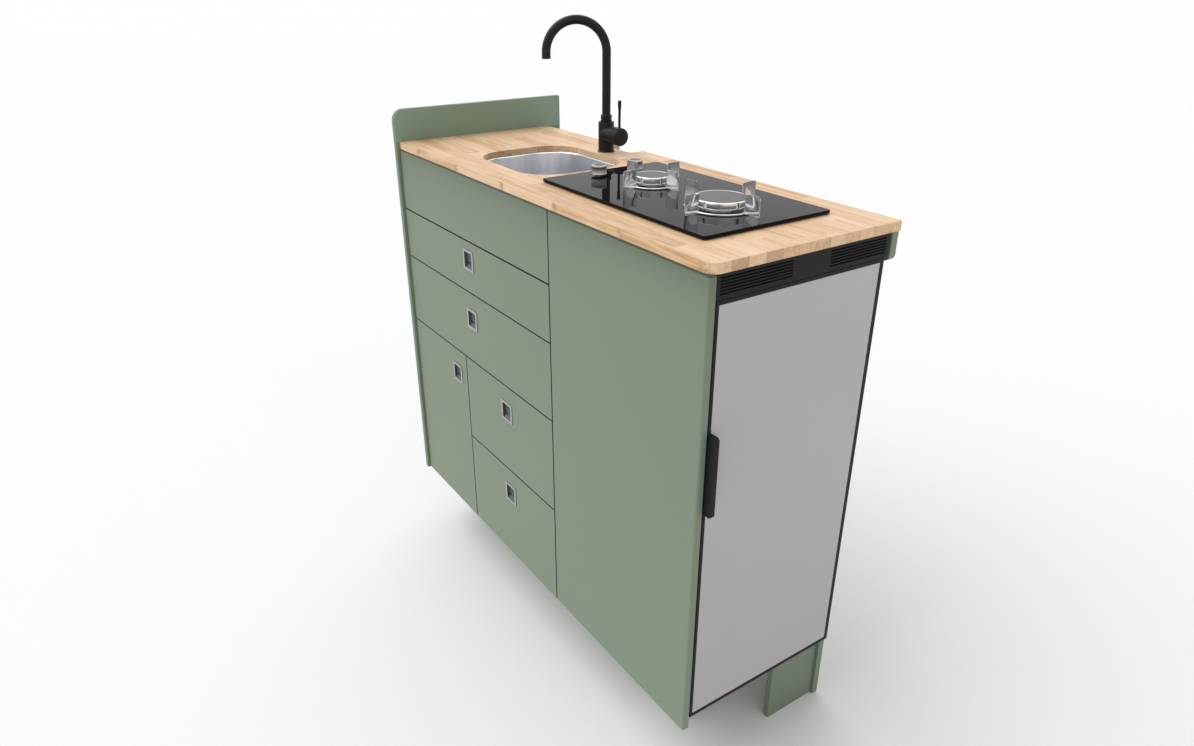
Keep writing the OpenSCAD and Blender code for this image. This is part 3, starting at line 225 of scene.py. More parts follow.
def setFloor():
    # a hair below the feet, so that the two don't share a plane
    grid = bpy.data.meshes.new("floor")
    reach, height = stageLook["floorReach"], stageLook["floorHeight"]
    corners = [(x * reach, y * reach, height) for x, y in ((-1, -1), (1, -1), (1, 1), (-1, 1))]
    grid.from_pydata(corners, [], [(0, 1, 2, 3)])
    floor = bpy.data.objects.new("floor", grid)
    bpy.context.scene.collection.objects.link(floor)
    paper = Finish("floorPaper", roughness=0.9, specular=0.1)
    grain = paper.noise(35.0, detail=4.0)
    tone = stageLook["floor"]
    paper.set(colour=paper.blend(grain, (tone,) * 3, (tone * 0.99,) * 3))
    seen = paper.node("ShaderNodeLightPath", output="Is Camera Ray")
    paper.set(glow=paper.blend(seen, (0.0, 0.0, 0.0), (1.0, 1.0, 1.0)), glowStrength=stageLook["floorLift"])
    grid.materials.append(paper.material)


def setLight():
    # white all round, dimmer where it lights dull surfaces, and the suns
    world = bpy.data.worlds.new("studio")
    world.use_nodes = True
    bpy.context.scene.world = world
    sky = Nodes(world.node_tree)
    back = sky.tree.nodes["Background"]
    dull = sky.node("ShaderNodeLightPath", output="Is Diffuse Ray")
    sky.join(back.inputs["Color"], (1, 1, 1))
    sky.join(back.inputs["Strength"], sky.between(dull, 1.0, stageLook["sky"]))
    for name, strength, place in stageLook["suns"]:
        light = bpy.data.lights.new(name, "SUN")
        light.energy = strength
        light.angle = math.radians(stageLook["sunSize"])
        sun = bpy.data.objects.new(name, light)
        sun.location = place
        sun.rotation_euler = (-Vector(place)).to_track_quat("-Z", "Y").to_euler()
        bpy.context.scene.collection.objects.link(sun)


setCamera()
setFloor()
setLight()
print("stage: camera, floor and lights")


# Shapes are drawn in millimetres and become metres when a piece is made.

def fillet(points, radii, steps=4, closed=False):
    # a flat line with its corners rounded: one radius for all, or one for each point
    if not isinstance(radii, (list, tuple)):
        radii = [radii] * len(points)
    line = [Vector(point) for point in points]
    result = []
    for i, (corner, radius) in enumerate(zip(line, radii)):
        if radius <= 0 or (not closed and i in (0, len(line) - 1)):
            result.append(corner)
            continue
        back, onward = line[i - 1] - corner, line[(i + 1) % len(line)] - corner
        half = back.angle(onward, math.pi) / 2
        if half > math.radians(88) or half < math.radians(1):  # straight on, or straight back
            result.append(corner)
            continue
        reach = min(radius / math.tan(half), back.length * 0.49, onward.length * 0.49)
        radius = reach * math.tan(half)
        centre = corner + (back.normalized() + onward.normalized()).normalized() * (radius / math.sin(half))
        first = corner + back.normalized() * reach - centre
        last = corner + onward.normalized() * reach - centre
        for k in range(steps + 1):
            result.append(centre + first.lerp(last, k / steps).normalized() * radius)
    return [tuple(point) for point in result]


def onCircle(radius, turn, *height):
    return (radius * math.cos(turn), radius * math.sin(turn), *height)


def roundedLoop(width, depth, radius, z, corner=12, side=6):
    # the points of a rounded rectangle about the middle, at one height
    middles = [(x * (width / 2 - radius), y * (depth / 2 - radius)) for x, y in ((1, 1), (-1, 1), (-1, -1), (1, -1))]
    loop = []
    for quarter, (x, y) in enumerate(middles):
        for k in range(corner + 1):
            turn = math.radians(90 * quarter + 90 * k / corner)
            loop.append((x + radius * math.cos(turn), y + radius * math.sin(turn), z))
        nextX, nextY = middles[(quarter + 1) % 4]
        start = loop[-1]
        stop = (nextX + radius * math.cos(turn), nextY + radius * math.sin(turn), z)
        for k in range(1, side):
            loop.append(tuple(a + (b - a) * k / side for a, b in zip(start, stop)))
    return loop


def roundLoop(radius, z, like):
    # a circle whose points lie in the same directions as those of another loop
    return [onCircle(radius, math.atan2(y, x), z) for x, y, _ in like]


def shrink(outline, i, inset):
    # the i-th corner of a counter-clockwise outline, moved inwards by inset
    if not inset:
        return outline[i]
    here = Vector(outline[i])
    before, after = here - Vector(outline[i - 1]), Vector(outline[(i + 1) % len(outline)]) - here
    first, second = Vector((-before.y, before.x)).normalized(), Vector((-after.y, after.x)).normalized()
    middle = (first + second).normalized()
    return tuple(here + middle * (inset / max(0.3, middle.dot(first))))


class Piece:
    # one object that is put together from closed shells
    crease = 35    # degrees from which an edge stays sharp
    rimSteps = 2   # faces across the rounding of a prism's rim

    def __init__(self, name, at, turn=None):
        self.name = name
        self.mesh = bmesh.new()
        self.frame = Matrix.Translation(Vector(at) * mm) @ (turn or Matrix.Identity(4)) @ Matrix.Scale(mm, 4)

    def points(self, loop, local):
        local = local or Matrix.Identity(4)
        return [self.mesh.verts.new(self.frame @ (local @ Vector(place))) for place in loop]

    def skin(self, low, high):
        count = len(low)
        for k in range(count):
            self.mesh.faces.new((low[k], low[(k + 1) % count], high[(k + 1) % count], high[k]))

    def loft(self, loops, local=None, ends=True):
        # closed loops of one length joined one to the next, the ends filled or left open
        rings = [self.points(loop, local) for loop in loops]
        for low, high in zip(rings, rings[1:]):
            self.skin(low, high)
        if ends:
            self.mesh.faces.new(list(reversed(rings[0])))
            self.mesh.faces.new(rings[-1])

    def band(self, loops, local=None):
        # loops joined one to the next and the last to the first, as a ring with no ends
        rings = [self.points(loop, local) for loop in loops]
        for low, high in zip(rings, rings[1:] + rings[:1]):
            self.skin(low, high)

    def lathe(self, profile, count=96, local=None):
        # a profile of radius and height turned about the upright axis, from pole to pole
        before = None
        for radius, height in profile:
            around = [0] if radius < 0.001 else range(count)
            ring = self.points([onCircle(radius, 2 * math.pi * k / count, height) for k in around], local)
            if before:
                for k in range(count):
                    a, b = before[k % len(before)], before[(k + 1) % len(before)]
                    c, d = ring[(k + 1) % len(ring)], ring[k % len(ring)]
                    corners = list(dict.fromkeys((a, b, c, d)))
                    if len(corners) > 2:
                        self.mesh.faces.new(corners)
            before = ring

    def hoop(self, profile, count=96, local=None):
        # a closed profile turned about the upright axis: a ring
        self.band([[onCircle(radius, 2 * math.pi * k / count, height) for radius, height in profile]
                   for k in range(count)], local)

    def prism(self, outline, low, high, edge, local=None):
        # a flat outline with thickness, its two rims rounded by insetting the end loops
        loops = []
        for k in range(self.rimSteps + 1):
            turn = math.radians(90 * k / self.rimSteps)
            loops.append((edge * (1 - math.sin(turn)), low + edge * (1 - math.cos(turn))))
        loops += [(inset, high - (height - low)) for inset, height in reversed(loops)]
        self.loft([[(*shrink(outline, i, inset), height) for i in range(len(outline))]
                   for inset, height in loops], local)

    def tube(self, path, radius, count=24):
        # a round section with open ends, carried along a line of points without twist
        line = [Vector(point) for point in path]
        loops = []
        side = None
        for i, point in enumerate(line):
            along = (line[min(i + 1, len(line) - 1)] - line[max(i - 1, 0)]).normalized()
            if side is None:
                side = along.orthogonal().normalized()
            side = (side - along * side.dot(along)).normalized()
            other = along.cross(side)
            turns = [2 * math.pi * k / count for k in range(count)]
            loops.append([tuple(point + (side * math.cos(t) + other * math.sin(t)) * radius) for t in turns])
        self.loft(loops, ends=False)

    def made(self, slotName, body, nodesReplaced, look=None):
        # turns the shells into an object that rides on its body
        bmesh.ops.recalc_face_normals(self.mesh, faces=self.mesh.faces)
        shape = bpy.data.meshes.new(self.name)
        self.mesh.to_mesh(shape)
        self.mesh.free()
        shape.shade_smooth()
        shape.set_sharp_from_angle(angle=math.radians(self.crease))
        shape.materials.append(look or finish[slotName])
        thing = bpy.data.objects.new(self.name, shape)
        bpy.context.scene.collection.objects.link(thing)
        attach(thing, body)
        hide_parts(*nodesReplaced)


# The finishes: colours as they look on screen, sizes in metres.

paint = {
    # the second colour is painted light for the end panel's inner face above the worktop
    "sage": srgb(131, 143, 124), "paintedLightAndWipes": srgb(141, 164, 146), "dark": srgb(38, 44, 36),
    "variation": 0.03, "roughness": (0.40, 0.51), "gloss": 0.14,
    "patches": 2.2, "skin": 420.0, "skinDepth": 0.00012, "skinStrength": 0.35,
    "frontEdgeShade": 0.2,                                 # painted shade on the fronts' edges, for the gaps between them
    "paintedShade": 0.34, "reach": 35 * mm,                   # painted shade below the worktop, and how fast it fades
    "joint": 2.8 * mm, "jointShade": 0.4,             # a painted shadow line right under the worktop
    "low": 1.1, "bounceLightShare": 0.8, "bounceLightRange": (0.1, 0.9),  # painted bounce light: paler towards the bottom
}


def paintedBoard(name="paintedBoard", side=1.0, paintedLightAndWipes=None, under=None):
    # roller-coated sage paint: very fine skin, a slight drift in tone. The fronts' edges are darkened as painted shade
    # for the gaps, the fronts carry painted shade and a painted shadow line under the worktop and painted bounce light
    # lower down, and the end panel's inner face above the worktop is made paler as painted light.
    f = Finish(name, specular=paint["gloss"])
    drift = f.noise(paint["patches"], detail=2.0)
    skin = f.noise(paint["skin"], detail=2.0)
    sage, change = paint["sage"], paint["variation"]
    colour = f.blend(drift, paler(sage, 1 - change), paler(sage, 1 + change))
    # painted shade fading down from the worktop, a painted shadow line right under it, and painted bounce light
    # towards the bottom
    if under:
        drop = under - f.axes()[2]
        # painted bounce light from the floor: paler towards the bottom
        paintedBounce = f.spread(drop, 0.0, paint["bounceLightShare"], *paint["bounceLightRange"])
        colour = f.blend(paintedBounce, colour, paler(sage, paint["low"]))
        paintedShade = (drop * (-1 / paint["reach"])).through("EXPONENT") * paint["paintedShade"]
        # painted shade and the painted shadow line under the worktop
        colour = f.blend(paintedShade + (drop < paint["joint"]) * paint["jointShade"], colour, paint["dark"])
    # painted shade: the edges that face the gaps between the fronts are darkened
    if side != 1.0:
        flat = f.facing()[1].through("ABSOLUTE") > 0.6
        colour = f.blend(flat, paler(sage, side), colour)
    # painted light: the end panel's inner face above the worktop is made paler
    if paintedLightAndWipes:
        colour = f.blend((f.axes()[2] > paintedLightAndWipes) * (f.facing()[0] > 0.7), colour, paint["paintedLightAndWipes"])
    f.set(colour=colour, roughness=f.spread(skin, *paint["roughness"]),
          normal=f.bump(skin, paint["skinDepth"], paint["skinStrength"]))
    return f.material


timber = {
    "light": srgb(240, 209, 172), "mid": srgb(227, 190, 148), "dark": srgb(193, 149, 105), "rose": srgb(223, 178, 144),
    "mark": srgb(150, 108, 74), "line": srgb(176, 134, 96), "lineShare": 0.28,
    "stave": 36 * mm, "block": 0.21, "seam": 0.012, "endJoint": 0.0045,
    "start": 40.37, "blockStart": 20.0, "stagger": 7.3,   # where rows and blocks are counted from
    "ownTone": 0.58, "streakTone": 1.30, "middleTone": 0.94,
    "streaks": (8.0, 150.0, 150.0), "bands": (4.2, 74.0, 60.0), "pores": (60.0, 1500.0, 900.0),
    "darkEnds": 0.80, "darkEndShare": 0.34, "roughness": (0.40, 0.58),
}


def staveTimber():
    # edge-glued staves that run along X, each block with its own tone, streaks and end joint
    f = Finish("staveTimber", specular=0.4)
    at = f.axes()
    lane = at[1] / timber["stave"] + timber["start"]
    row = lane.through("FLOOR")
    rowChance = f.chance(f.vector(row, 3.1, 0.7))
    walk = at[0] / timber["block"] + timber["blockStart"] + rowChance * timber["stagger"]
    block = walk.through("FLOOR")
    own = f.chance(f.vector(row, block, 1.9))
    other = f.chance(f.vector(block, row, 8.3))
    # long thin streaks along the stave, moved on for each block
    move = f.vector(own * 3.0, other * 2.0, own * 1.4)
    shifted = f.node("ShaderNodeVectorMath", {"operation": "ADD"}, [f.place(), move])
    fine = f.noise(1.0, f.stretch(timber["streaks"], shifted), detail=6.0, roughness=0.62, distortion=0.5)
    broad = f.noise(1.0, f.stretch(timber["bands"], shifted), detail=3.0, distortion=1.4)
    pores = f.noise(1.0, f.stretch(timber["pores"], shifted), detail=2.0)
    tint = own * timber["ownTone"] + fine * timber["streakTone"] + broad - timber["middleTone"]
    colour = f.ramp(tint, [(0.10, timber["light"]), (0.50, timber["mid"]), (0.95, timber["dark"])])
    rose = f.blend(f.spread(other, 0.0, 0.40, 0.45, 1.0), colour, timber["rose"])
    flecked = f.blend(f.spread(pores, 0.0, 0.35, 0.60, 0.78), rose, timber["dark"])
    seam = lane.offMiddle() * 2.0 > 1 - timber["seam"] * 2
    end = walk.offMiddle() * 2.0 > 1 - timber["endJoint"]
    line = f.node("ShaderNodeMath", {"operation": "MAXIMUM"}, [seam, end])
    joined = f.blend(line * timber["lineShare"], flecked, timber["line"])
    # a block's end shows as a darker mark where the worktop's own edge cuts it
    rim = f.spread(f.facing()[2].through("ABSOLUTE"), 1.0, 0.0, 0.3, 0.8)
    near = f.spread(walk.offMiddle(), 0.0, 1.0, 0.435, 0.475) * f.spread(fine + other * 0.5, 0.1, 0.75, 0.45, 0.95)
    # at the right end each stave shows its end grain, and some are darker
    rightEnd = f.facing()[0] > 0.7
    marked = f.blend(near * rim * (1 - rightEnd), joined, timber["mark"])
    darkEnd = rightEnd * (rowChance > timber["darkEnds"]) * timber["darkEndShare"]
    f.set(colour=f.blend(darkEnd, marked, timber["mark"]), roughness=f.spread(fine, *timber["roughness"]),
          normal=f.bump(fine - line * 0.6, 0.0002, 0.35))
    return f.material


ply = {
    "light": srgb(232, 208, 172), "mid": srgb(222, 194, 156), "dark": srgb(204, 172, 132), "edge": srgb(150, 112, 74),
    "board": 13 * mm, "plies": 2.4 * mm, "bottom": 15 * mm, "grain": (7.0, 60.0, 60.0), "roughness": (0.38, 0.50),
}


def plyWood(name, box):
    # clear-lacquered birch: quiet long grain on the faces, plies on the upper edges of the boards
    f = Finish(name, specular=0.4)
    at = f.axes()
    grain = f.noise(1.0, f.stretch(ply["grain"]), detail=5.0, roughness=0.62, distortion=0.9)
    colour = f.ramp(grain, [(0.25, ply["light"]), (0.55, ply["mid"]), (0.8, ply["dark"])])
    middle, half = (box[0].x + box[1].x) / 2, (box[1].x - box[0].x) / 2
    outer = (at[0] - middle).through("ABSOLUTE") > (half - ply["board"])
    layers = (f.between(outer, at[1], at[0]) / ply["plies"]).through("FRACT") > 0.5
    upper = f.facing()[2] > 0.8
    high = at[2] > (box[0].z + ply["bottom"])
    f.set(colour=f.blend(layers * upper * high * 0.5, colour, ply["edge"]),
          roughness=f.spread(grain, *ply["roughness"]), normal=f.bump(grain, 0.0002, 0.25))
    return f.material


metalLook = {"clouds": 7.0, "drift": (0.95, 1.04)}


def metal(name, tone, roughness, spread=0.05, scale=200.0, lines=None, bump=0.0001, strength=0.3):
    # bare metal: fine streaks if lines gives their stretch, else an even fine grain
    f = Finish(name, metallic=1.0)
    grain = f.noise(1.0 if lines else scale, f.stretch(lines) if lines else None, detail=4.0, roughness=0.6)
    cloud = f.noise(metalLook["clouds"], detail=2.0)
    f.set(colour=f.blend(cloud, *(paler(tone, by) for by in metalLook["drift"])),
          roughness=f.spread(grain, roughness - spread, roughness + spread),
          normal=f.bump(grain, bump, strength))
    return f.material


sinkLook = {
    "dark": srgb(176, 180, 188), "light": srgb(222, 224, 228), "rim": srgb(240, 240, 240), "rimFrom": 1102.5 * mm,
    "brush": (300.0, 300.0, 9.0), "bands": (42.0, 42.0, 3.0),
    "roughness": 0.22, "brushed": 0.22, "polish": 0.75,   # the polish takes its share off at the rim
}


def sinkSteel():
    # brushed up and down the walls, with a polished rim just under the timber
    f = Finish("stainless", metallic=1.0)
    grain = f.noise(1.0, f.stretch(sinkLook["brush"]), detail=4.0, roughness=0.6)
    broad = f.noise(1.0, f.stretch(sinkLook["bands"]), detail=2.0)
    rim = f.axes()[2] > sinkLook["rimFrom"]
    wall = f.blend(broad, sinkLook["dark"], sinkLook["light"])
    brushed = sinkLook["roughness"] + grain * sinkLook["brushed"]
    f.set(colour=f.blend(rim, wall, sinkLook["rim"]), roughness=brushed * (1 - rim * sinkLook["polish"]),
          normal=f.bump(grain, 0.0004, 0.35))
    return f.material


catchLook = {"bezel": srgb(174, 173, 173), "tray": srgb(88, 86, 88), "trayFrom": 0.4 * mm, "trayTo": 15 * mm,
             "grain": 260.0, "roughness": (0.30, 0.42)}


def catchNickel(front):
    # satin nickel, with the shallow tray behind the bezel in dark grey
    f = Finish("catchNickel")
    grain = f.noise(catchLook["grain"], detail=4.0, roughness=0.6)
    depth = f.axes()[1]
    inside = (depth > (front + catchLook["trayFrom"])) * (depth < (front + catchLook["trayTo"]))
    f.set(colour=f.blend(inside, catchLook["bezel"], catchLook["tray"]), metallic=f.spread(inside, 1.0, 0.0),
          roughness=f.spread(grain, *catchLook["roughness"]), normal=f.bump(grain, 0.0001, 0.3))
    return f.material


mouldedLook = {"clouds": 5.0, "drift": (0.94, 1.06), "swing": 0.07}


def moulded(name, tone, roughness=0.5, skin=700.0, depth=0.00012, strength=0.4, specular=0.45):
    # moulded plastic or coated metal with a spark-eroded skin
    f = Finish(name, specular=specular)
    grain = f.noise(skin, detail=2.0)
    cloud = f.noise(mouldedLook["clouds"], detail=2.0)
    swing = mouldedLook["swing"]
    f.set(colour=f.blend(cloud, *(paler(tone, by) for by in mouldedLook["drift"])),
          roughness=f.spread(grain, roughness - swing, roughness + swing),
          normal=f.bump(grain, depth, strength))
    return f.material


plateLook = {"smoky": (0.80, 0.81, 0.83), "clear": (0.90, 0.90, 0.91), "haze": 60.0, "roughness": (0.03, 0.10),
             "gloss": 0.8, "seeThrough": 0.92}


def clearPlate():
    # the pan supports look clear in the picture: a slightly smoky, polished body with bright edges
    f = Finish("clearPlate", specular=plateLook["gloss"], transmission=plateLook["seeThrough"])
    haze = f.noise(plateLook["haze"], detail=3.0)
    f.set(colour=f.blend(haze, plateLook["smoky"], plateLook["clear"]),
          roughness=f.spread(haze, *plateLook["roughness"]))
    return f.material


glassLook = {"black": (0.0085, 0.0085, 0.0095), "paintedLightAndWipes": (0.011, 0.011, 0.012), "smears": 9.0,
             "stretch": (1.0, 2.5, 1.0), "roughness": (0.015, 0.05), "gloss": 0.05}


def blackGlass():
    # its gloss is low because all that it reflects here is white
    f = Finish("blackGlass", specular=glassLook["gloss"])
    smear = f.noise(glassLook["smears"], f.stretch(glassLook["stretch"]), detail=4.0, distortion=1.5)
    f.set(colour=f.blend(smear, glassLook["black"], glassLook["paintedLightAndWipes"]),
          roughness=f.spread(smear, *glassLook["roughness"], 0.35, 0.75))
    return f.material


zincLook = {"crystals": 130.0, "drift": (0.9, 1.08), "swing": (-0.06, 0.08), "grain": 300.0}


def spangle(name, tone, roughness):
    # zinc plate with faint crystals
    f = Finish(name, metallic=1.0)
    crystals = {"Vector": f.place(), "Scale": zincLook["crystals"]}
    value = f.axes(f.node("ShaderNodeTexVoronoi", {"feature": "F1"}, crystals, output="Color"))[0]
    f.set(colour=f.blend(value, *(paler(tone, by) for by in zincLook["drift"])),
          roughness=f.spread(value, *(roughness + swing for swing in zincLook["swing"])),
          normal=f.bump(f.noise(zincLook["grain"]), 0.0001, 0.2))
    return f.material


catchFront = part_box("cupboard_door_fittings")[0].y
finish = {
    "painted_board": paintedBoard(),
    "oiled_timber": staveTimber(),
    "plywood": plyWood("plyWood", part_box("drawer_1_box")),
    "zinc_steel": spangle("zincSteel", srgb(196, 198, 202), 0.36),
    "catch_metal": catchNickel(catchFront),
    "paddle_plastic": moulded("paddlePlastic", srgb(64, 62, 64), 0.40),
    "stainless": sinkSteel(),
    "waste_metal": metal("strainerSteel", srgb(206, 208, 210), 0.16, scale=300.0),
    "black_glass": blackGlass(),
    "tray_metal": moulded("trayPaint", srgb(80, 80, 82)),
    "burner_metal": metal("turnedAluminium", srgb(220, 220, 222), 0.17, 0.06, scale=220.0),
    "cap_enamel": moulded("capEnamel", srgb(80, 80, 83), skin=900.0),
    "polished_steel": metal("polishedSteel", srgb(226, 226, 228), 0.08, 0.03, scale=180.0, strength=0.12),
    "valve_brass": metal("valveBrass", srgb(206, 176, 104), 0.28),
    "spindle_steel": metal("spindleSteel", srgb(180, 180, 182), 0.3),
    "knob_metal": metal("knobMetal", srgb(176, 171, 167), 0.36, 0.08, lines=(500.0, 500.0, 18.0), bump=0.00015),
    "tap_black": moulded("tapBlack", srgb(27, 24, 24), 0.40, skin=1100.0, depth=0.00006, specular=0.2),
    "fridge_plastic": moulded("fridgeWhite", srgb(232, 233, 234), 0.32, skin=260.0, depth=0.00008, strength=0.2),
    "shelf_wire": moulded("shelfWire", srgb(236, 236, 236), 0.3, skin=200.0),
    "dark_plastic": moulded("darkPlastic", srgb(30, 30, 31), 0.46, specular=0.14),
    "unit_metal": moulded("unitPaint", srgb(34, 34, 36), 0.38, skin=500.0),
    "door_face": moulded("doorFace", srgb(189, 185, 186), 0.40, skin=500.0, depth=0.0001, strength=0.2),
    "seal_rubber": moulded("sealRubber", srgb(168, 168, 170), 0.6, skin=600.0),
}
print("finishes:", len(finish))


# What the CAD nodes wear. Boards and other flat nodes get slightly rounded edges, in millimetres.

softEdge = {
    "slots": {"painted_board": 0.8, "oiled_timber": 1.4, "plywood": 0.8, "zinc_steel": 0.2, "catch_metal": 0.3,
              "paddle_plastic": 0.5, "black_glass": 0.8, "tray_metal": 0.3, "fridge_plastic": 1.5,
              "dark_plastic": 0.5, "door_face": 0.4, "seal_rubber": 0.8},
    "nodes": {"fridge_door_racks": 0.8, "end_panel": 2.0},
    "other": 0.3, "small": 0.6,                                # the other slots; a small edge has two faces
    "weld": 0.00002, "flat": 0.4, "corner": 32, "crease": 30,  # metres, then degrees
}
# round nodes, whose edges stay as they are
turned = {"fridge_shelves", "cooling_unit", "gas_valves", "tap_tail", "spindle_front", "spindle_rear"}


def soften(shape, edge):
    # makes flat faces whole again and rounds the edges a little
    flat = shape.modifiers.new("flat", "DECIMATE")
    flat.decimate_type = "DISSOLVE"
    flat.angle_limit = math.radians(softEdge["flat"])
    rounding = shape.modifiers.new("edge", "BEVEL")
    rounding.width = edge * mm
    rounding.segments = 2 if edge < softEdge["small"] else 3
    rounding.limit_method = "ANGLE"
    rounding.angle_limit = math.radians(softEdge["corner"])
    rounding.use_clamp_overlap = True
    even = shape.modifiers.new("even", "WEIGHTED_NORMAL")
    even.mode = "FACE_AREA"
    even.weight = 100
    even.keep_sharp = False


for name, shape in nodes.items():
    slot = slotOf[name]
    shape.data.materials.clear()
    shape.data.materials.append(finish[slot])
    shape.data.shade_smooth()
    shape.modifiers.new("join", "WELD").merge_threshold = softEdge["weld"]
    if name in turned:
        shape.data.set_sharp_from_angle(angle=math.radians(softEdge["crease"]))
    else:
        soften(shape, softEdge["nodes"].get(name, softEdge["slots"].get(slot, softEdge["other"])))

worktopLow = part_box("worktop")[0].z
# the fronts get painted shade on their edges, painted shade under the worktop and painted bounce light lower down
frontBoard = paintedBoard("frontBoard", paint["frontEdgeShade"], under=worktopLow)
for name in ("sink_front", "cupboard_door", *("drawer_%d_front" % k for k in range(1, 5))):
    nodes[name].data.materials[0] = frontBoard
# the fridge side panel gets the same painted shade under the worktop and painted bounce light lower down
nodes["fridge_side_panel"].data.materials[0] = paintedBoard("sideBoard", under=worktopLow)
# the end panel gets painted light on its inner face above the worktop
nodes["end_panel"].data.materials[0] = paintedBoard("endBoard", paintedLightAndWipes=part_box("worktop")[1].z)
for k in range(1, 5):
    box = "drawer_%d_box" % k
    nodes[box].data.materials[0] = plyWood("plyWood%d" % k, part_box(box))
print("nodes dressed")


# Sink: one pressed sheet with a rolled rim.

sink = {
    "middle": (-198.25, -30.0), "wide": 295.0, "deep": 250.0, "corner": 79.0, "leastCorner": 20.0,
    "rim": 1106.0, "bottom": 982.0, "sheet": 1.5, "flange": 12.0, "roll": 3.6, "taper": 10.0, "foot": 26.0,
    "innerLow": 1.1, "outerLow": 1.3, "fall": 0.4,
    "drain": ((34.0, 0.9), (31.0, 1.1), (29.5, 2.4), (21.0, 2.6)),  # radius, and drop from the floor
}


def bowlLoops(grow, low):
    # the pressed shape at one side of the sheet, from the flange down to the drain
    edge, taper, foot = sink["roll"], sink["taper"], sink["foot"] + grow
    rim = sink["rim"] - sink["sheet"] * (grow > 0)
    steps = [(sink["flange"], rim)]
    for k in range(5):
        turn = math.radians(90 * k / 4)
        steps.append((edge * (1 - math.sin(turn)), rim - edge * (1 - math.cos(turn))))
    shoulder = low + foot
    steps.append((-taper * 0.5, (sink["rim"] + shoulder) / 2))
    for k in range(9):
        turn = math.radians(90 * k / 8)
        steps.append((-taper - foot * (1 - math.cos(turn)), shoulder - foot * math.sin(turn)))
    loops = []
    for out, z in steps:
        out += grow
        corner = max(sink["leastCorner"], sink["corner"] + out)
        loops.append(roundedLoop(sink["wide"] + 2 * out, sink["deep"] + 2 * out, corner, z))
    last = loops[-1]
    loops.append([(x * 0.5, y * 0.5, low - sink["fall"]) for x, y, _ in last])
    return loops + [roundLoop(radius, low - drop, last) for radius, drop in sink["drain"]]


def makeSink():
    inner = bowlLoops(0.0, sink["bottom"] + sink["sheet"] + sink["innerLow"])
    outer = bowlLoops(sink["sheet"], sink["bottom"] + sink["outerLow"])
    bowl = Piece("sinkBowl", (*sink["middle"], 0))
    bowl.band(inner + list(reversed(outer)))
    bowl.made("stainless", "carcass", ["sink_bowl"])


makeSink()


# Strainer and waste under the sink.

strainer = {
    "ring": 29.0, "ringIn": 20.0, "seat": 982.2, "plate": 20.4, "screw": 3.0, "thick": 0.8,
    "rows": ((5, 6.5, 1.5, 3.0, 9.3), (11, 12.6, 1.7, 9.3, 16.4)),  # holes, their circle and radius, row from and to
    "body": 20.0, "low": 938.0, "nut": 27.0, "grips": 16,
    "outlet": 12.5, "outletHeight": 952.0, "reach": 120.0, "barbs": (66, 78, 90),
}


def holedCell(piece, low, high, start, stop, middle, hole, z, steps):
    # one cell of a ring-shaped plate, with a round hole through it
    thick = strainer["thick"]
    corners = ((low, start), (high, start), (high, stop), (low, stop))
    border = []
    for a, b in zip(corners, corners[1:] + corners[:1]):
        border += [onCircle(*(p + (q - p) * k / steps for p, q in zip(a, b))) for k in range(steps)]
    centre = onCircle(middle, (start + stop) / 2)
    rim = []
    for x, y in border:
        away = math.atan2(y - centre[1], x - centre[0])
        rim.append((centre[0] + hole * math.cos(away), centre[1] + hole * math.sin(away)))
    levels = ((border, z), (rim, z), (rim, z - thick), (border, z - thick))
    piece.band([[(*p, height) for p in loop] for loop, height in levels])


def holedPlate(piece, rows, z, steps=8):
    # a round plate of such cells, row by row
    for count, middle, hole, low, high in rows:
        for k in range(count):
            start, stop = 2 * math.pi * k / count, 2 * math.pi * (k + 1) / count
            holedCell(piece, low, high, start, stop, middle, hole, z, steps)


def makeStrainer():
    # rim ring, and a dished plate with two rows of holes and a screw head
    at = (*sink["middle"], 0)
    seat, edge, inner = strainer["seat"], strainer["ring"], strainer["ringIn"]
    ring = Piece("strainerRing", at)
    ring.hoop(fillet([(inner, seat - 3.0), (edge, seat), (edge, seat + 1.0), (edge - 2, seat + 1.9),
                      (21.5, seat + 1.5), (inner, seat - 0.5)], 0.5, 3, closed=True))
    ring.made("waste_metal", "carcass", ["sink_waste"])

    plate = Piece("strainerPlate", at)
    base = seat - 3.2
    holedPlate(plate, strainer["rows"], base)
    head, under = strainer["screw"], base - strainer["thick"]
    plate.lathe(fillet([(0, under), (head, under), (head, base + 0.6), (2.2, base + 1.6), (0, base + 1.8)],
                       [0, 0, 0.3, 0.5, 0], 3), 32)
    near, far = strainer["rows"][-1][-1], strainer["plate"]
    plate.hoop(fillet([(near, under), (far, base + 0.4), (far, base + 1.4), (near, base)], 0.3, 3, closed=True))
    plate.made("waste_metal", "carcass", ["sink_waste"])


